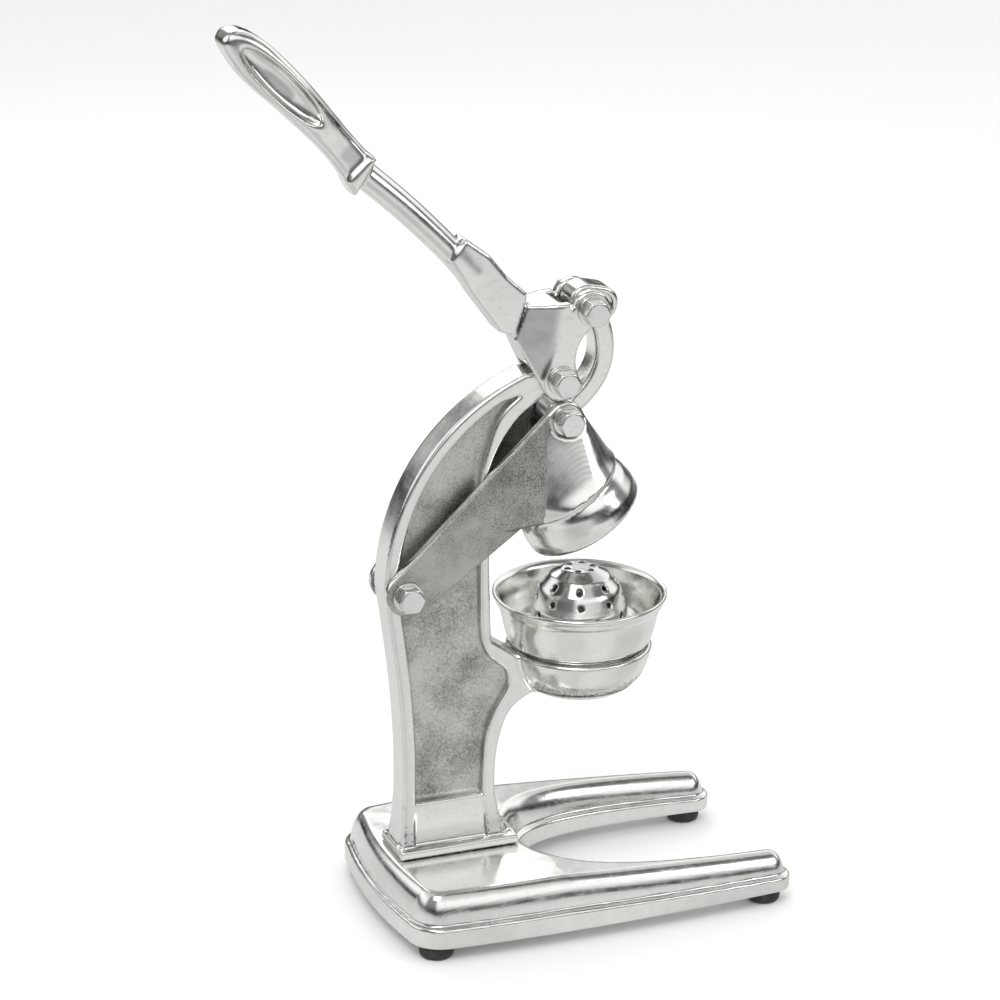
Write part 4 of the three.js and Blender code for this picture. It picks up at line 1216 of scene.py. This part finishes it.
class MakeCup(PressOperator):
    """Makes the juice cup."""

    bl_idname = "press.make_cup"
    bl_label = "Juice cup"

    def make(self, sizes):
        foot = rounded(
            [(SPIGOT_RADIUS, STEP_Z), (STEP_RADIUS - 1.6, STEP_Z), (STEP_RADIUS - 0.2, STEP_Z + 1.6)], 0.5
        )
        outer = spline(
            [
                (STEP_RADIUS + 0.2, STEP_Z + 2.6), (STEP_RADIUS + 1.9, 163), (STEP_RADIUS + 3.6, 171),
                (RIM_RADIUS - 3.6, RIM_Z - 8.2)
            ], 16
        )
        band = [
            (RIM_RADIUS - 3.1, RIM_Z - 7.2), (RIM_RADIUS - 2.2, RIM_Z - 6.2),
            (RIM_RADIUS - 1.8, RIM_Z - 5)
        ]
        outer = np.concatenate([foot, outer, band])
        rim = spline(
            [
                (RIM_RADIUS - 0.9, RIM_Z - 3.2), (RIM_RADIUS, RIM_Z - 1.4), (RIM_RADIUS - 0.7, RIM_Z),
                (RIM_RADIUS - 2.2, RIM_Z - 0.3)
            ], 12
        )
        inner = spline(
            [
                (RIM_RADIUS - 3.8, RIM_Z - 2), (RIM_RADIUS - 6.2, RIM_Z - 10), (STEP_RADIUS + 0.6, 164),
                (STEP_RADIUS - 2, STRAINER_Z + 2)
            ], 16
        )
        low = rounded(
            [
                (SPIGOT_RADIUS - 0.4, STRAINER_Z - 0.2), (SPIGOT_RADIUS - 3.2, STRAINER_Z - 0.6),
                (SPIGOT_RADIUS - 4.6, CUP_FLOOR + 5), (SPIGOT_RADIUS - 8, CUP_FLOOR),
                (8, CUP_FLOOR - 0.8), (8, CUP_FLOOR - CUP_WALL),
                (SPIGOT_RADIUS - 6, CUP_FLOOR - CUP_WALL), (SPIGOT_RADIUS - 2, CUP_FLOOR + 4),
                (SPIGOT_RADIUS, STEP_Z - 1)
            ], 0.8
        )
        profile = np.concatenate([outer, rim, inner, low])
        piece = lathe("cup", profile, (CUP_X, 0), sizes.turned_steps)
        settle(piece, "mirror_polish", "juice_cup", "polished_aluminium", "juice_cup")


class MakeStrainer(PressOperator):
    """Makes the domed strainer with its pressed rings and holes."""

    bl_idname = "press.make_strainer"
    bl_label = "Strainer"

    def make(self, sizes):
        rise = DOME_TOP - STRAINER_Z
        steps = [
            (0, 1.0), (0.36, 1), (0.42, 0.97), (0.62, 0.9), (0.66, 0.86), (0.82, 0.74), (0.85, 0.7),
            (0.95, 0.5), (0.98, 0.45), (1.03, 0.04)
        ]
        flange, wall, floor = SPIGOT_RADIUS - 1, 1.2, STRAINER_Z + 0.1
        out = [(r * DOME_RADIUS, STRAINER_Z + h * rise) for r, h in steps]
        inside = [(max(r * DOME_RADIUS - wall, 0), STRAINER_Z + h * rise - wall) for r, h in steps[:-1]]
        profile = rounded(
            [
                *out, (flange, floor + wall), (flange, floor), (DOME_RADIUS * 1.03 - wall, floor),
                *inside[::-1]
            ], 1.1
        )
        space = Space((CUP_X - 37, -37, STRAINER_Z), (CUP_X + 37, 37, DOME_TOP), 0.6)
        body = space.turned(profile, (CUP_X, 0))
        for share, count, offset in ((0.6, 9, 0.25), (0.4, 9, 0.75), (0.2, 9, 0.25), (0.8, 8, 0.5)):
            z = STRAINER_Z + share * rise
            for i in range(count):
                t = (i + offset) / count * 2 * math.pi
                c, s = math.cos(t), math.sin(t)
                off = np.hypot(-(space.x - CUP_X) * s + space.y * c, space.z - z)
                out_side = 8 - ((space.x - CUP_X) * c + space.y * s)
                body = less(body, np.maximum(off - sizes.hole_radius, out_side), 0.3)
        for i in range(6):
            t = i / 6 * 2 * math.pi
            at = (CUP_X + 0.28 * DOME_RADIUS * math.cos(t), 0.28 * DOME_RADIUS * math.sin(t))
            body = less(body, space.pin_z(at, sizes.hole_radius, DOME_TOP - 12, DOME_TOP + 4), 0.3)
        piece = mesh_piece("domed_strainer", *space.skin(body))
        settle(piece, "pressed_stainless", "strainer", "stainless_steel", "strainer")


def grades(ramp, stops):
    """Sets a colour ramp's greys."""
    elements = ramp.color_ramp.elements
    for place, shade in stops:
        stop = elements[0] if place == 0 else elements[-1] if place == 1 else elements.new(place)
        stop.position = place
        stop.color = (shade, shade, shade, 1)


def area_light(name, place, aim, size, power):
    """A square lamp that faces a point."""
    lamp = bpy.data.lights.new(name, "AREA")
    lamp.energy = power
    lamp.size = size
    holder = bpy.data.objects.new(name, lamp)
    holder.location = place
    holder.rotation_euler = (Vector(aim) - Vector(place)).to_track_quat("-Z", "Y").to_euler()
    bpy.context.scene.collection.objects.link(holder)


class MakeStage(PressOperator):
    """Makes the pale floor, which mirrored rays see as a painted reflection, the studio light and the
    camera.
    """

    bl_idname = "press.make_stage"
    bl_label = "Stage"

    def make(self, sizes):
        mesh = bpy.data.meshes.new("floor")
        mesh.from_pydata([(-6, -6, 0), (6, -6, 0), (6, 6, 0), (-6, 6, 0)], [], [(0, 1, 2, 3)])
        floor = bpy.data.objects.new("floor", mesh)
        bpy.context.scene.collection.objects.link(floor)
        material, tree, shader = new_material("pale_floor", 0.0, Roughness=0.6)
        shader.inputs["Base Color"].default_value = (0.93, 0.93, 0.93, 1)
        # Painted reflection: mirrored rays see the floor as a glow, dimmer in the middle and far away,
        # mixed with the lit floor near the press.
        spot = add_node(tree, "ShaderNodeTexCoord").outputs["Object"]
        place = add_node(tree, "ShaderNodeSeparateXYZ", {0: spot})
        away = add_node(tree, "ShaderNodeVectorMath", {0: spot}, operation="LENGTH")
        shade = add_node(
            tree, "ShaderNodeValToRGB",
            {0: math_node(tree, "MULTIPLY", away.outputs["Value"], 0.25, True)}
        )
        grades(
            shade,
            ((0.0, 0.7), (0.1, 0.78), (0.22, 0.92), (0.34, 0.85), (0.5, 0.45), (0.7, 0.22), (1.0, 0.18))
        )
        # Four painted dark bands round the glow, seen only in reflections.
        round_way = add_node(
            tree, "ShaderNodeMath", {0: place.outputs["Y"], 1: place.outputs["X"]}, operation="ARCTAN2"
        ).outputs[0]
        wave = add_node(
            tree, "ShaderNodeMath", {0: math_node(tree, "MULTIPLY", round_way, 4.0)}, operation="SINE"
        ).outputs[0]
        painted_bands = spread(tree, wave, -0.5, 0.6, 0.78, 1.0)
        dim = add_node(
            tree, "ShaderNodeMix", {0: 1.0, 6: shade.outputs[0], 7: painted_bands}, data_type="RGBA",
            blend_type="MULTIPLY"
        ).outputs[2]
        glow = add_node(tree, "ShaderNodeEmission", {"Color": dim, "Strength": 1.0})
        mirrored = add_node(tree, "ShaderNodeLightPath").outputs["Is Glossy Ray"]
        near = spread(tree, away.outputs["Value"], 0.1, 0.45, 0.55, 1.0)
        both_ways = add_node(
            tree, "ShaderNodeMixShader",
            {0: math_node(tree, "MULTIPLY", mirrored, near), 1: shader.outputs[0], 2: glow.outputs[0]}
        )
        tree.links.new(both_ways.outputs[0], tree.nodes["Material Output"].inputs[0])
        floor.data.materials.append(material)
        area_light("key", (-0.7, -0.9, 1.7), (0, 0, 0.2), 0.9, 9)
        area_light("fill", (1.3, -1.2, 1.0), (0, 0, 0.2), 0.8, 4)
        area_light("back", (0.2, 1.5, 1.3), (0, 0, 0.3), 1.0, 5)
        world = bpy.context.scene.world or bpy.data.worlds.new("studio")
        bpy.context.scene.world = world
        world.use_nodes = True
        tree = world.node_tree
        tree.nodes.clear()
        way = add_node(tree, "ShaderNodeTexCoord").outputs["Generated"]
        parts = add_node(tree, "ShaderNodeSeparateXYZ", {0: way})
        ramp = add_node(tree, "ShaderNodeValToRGB", {0: spread(tree, parts.outputs["Z"], -0.2, 1, 0, 1)})
        grades(
            ramp,
            (
                (0.0, 0.4), (0.16, 0.2), (0.2, 0.05), (0.26, 0.08), (0.31, 0.5), (0.42, 1.2), (0.6, 1.25),
                (0.74, 0.85), (1.0, 0.55)
            )
        )
        turn = add_node(
            tree, "ShaderNodeMath", {0: parts.outputs["Y"], 1: parts.outputs["X"]}, operation="ARCTAN2"
        ).outputs[0]
        bands = add_node(
            tree, "ShaderNodeMath", {0: math_node(tree, "MULTIPLY", turn, 3.0)}, operation="SINE"
        ).outputs[0]
        cards = spread(tree, bands, -0.5, 0.0, 0.22, 1.0)
        lit = add_node(
            tree, "ShaderNodeMix", {0: 1.0, 6: ramp.outputs[0], 7: cards}, data_type="RGBA",
            blend_type="MULTIPLY"
        ).outputs[2]
        mirrored = add_node(tree, "ShaderNodeLightPath").outputs["Is Glossy Ray"]
        colour = mix_colour(tree, mirrored, (1, 1, 1, 1), lit)
        shine = add_node(tree, "ShaderNodeBackground", {"Color": colour, "Strength": 1.0})
        result = add_node(tree, "ShaderNodeOutputWorld")
        tree.links.new(shine.outputs[0], result.inputs[0])
        lens = bpy.data.cameras.new("camera")
        lens.sensor_width = 36
        lens.lens = 129.7
        lens.clip_end = 20
        camera = bpy.data.objects.new("camera", lens)
        camera.location = ((-675 + SHIFT) * MM, -1.760, 0.943)
        view = Vector((-23.8 + SHIFT, 0, 248.7)) * MM - camera.location
        turn_aside = Matrix.Rotation(math.radians(-0.926), 3, "Y")
        lean = Matrix.Rotation(math.radians(0.18), 3, "Z")
        camera.rotation_euler = (view.to_track_quat("-Z", "Y").to_matrix() @ lean @ turn_aside).to_euler()
        bpy.context.scene.collection.objects.link(camera)
        bpy.context.scene.camera = camera
        bpy.context.scene.view_settings.view_transform = "Standard"


OPERATORS = (
    MakeStage, MakeBase, MakeFeet, MakeColumnFixings, MakeFrame, MakeArm, MakeLink, MakeLever, MakePivots,
    MakeCup, MakeStrainer
)


class PressPanel(bpy.types.Panel):
    """Lists the press's operators and settings."""

    bl_idname = "VIEW3D_PT_citrus_press"
    bl_label = "Citrus press"
    bl_space_type = "VIEW_3D"
    bl_region_type = "UI"
    bl_category = "Citrus press"

    def draw(self, context):
        for settings in (context.scene.press_sizes, context.scene.press_colours):
            for name in settings.__annotations__:
                self.layout.prop(settings, name)
        for operator in OPERATORS:
            self.layout.operator(operator.bl_idname)


CLASSES = (PressSizes, PressColours, *OPERATORS, PressPanel)


def register():
    for item in CLASSES:
        bpy.utils.register_class(item)
    bpy.types.Scene.press_sizes = PointerProperty(type=PressSizes)
    bpy.types.Scene.press_colours = PointerProperty(type=PressColours)


def unregister():
    del bpy.types.Scene.press_colours
    del bpy.types.Scene.press_sizes
    for item in reversed(CLASSES):
        bpy.utils.unregister_class(item)


def main():
    register()
    for operator in OPERATORS:
        group, name = operator.bl_idname.split(".")
        getattr(getattr(bpy.ops, group), name)()


if __name__ == "__main__":
    main()
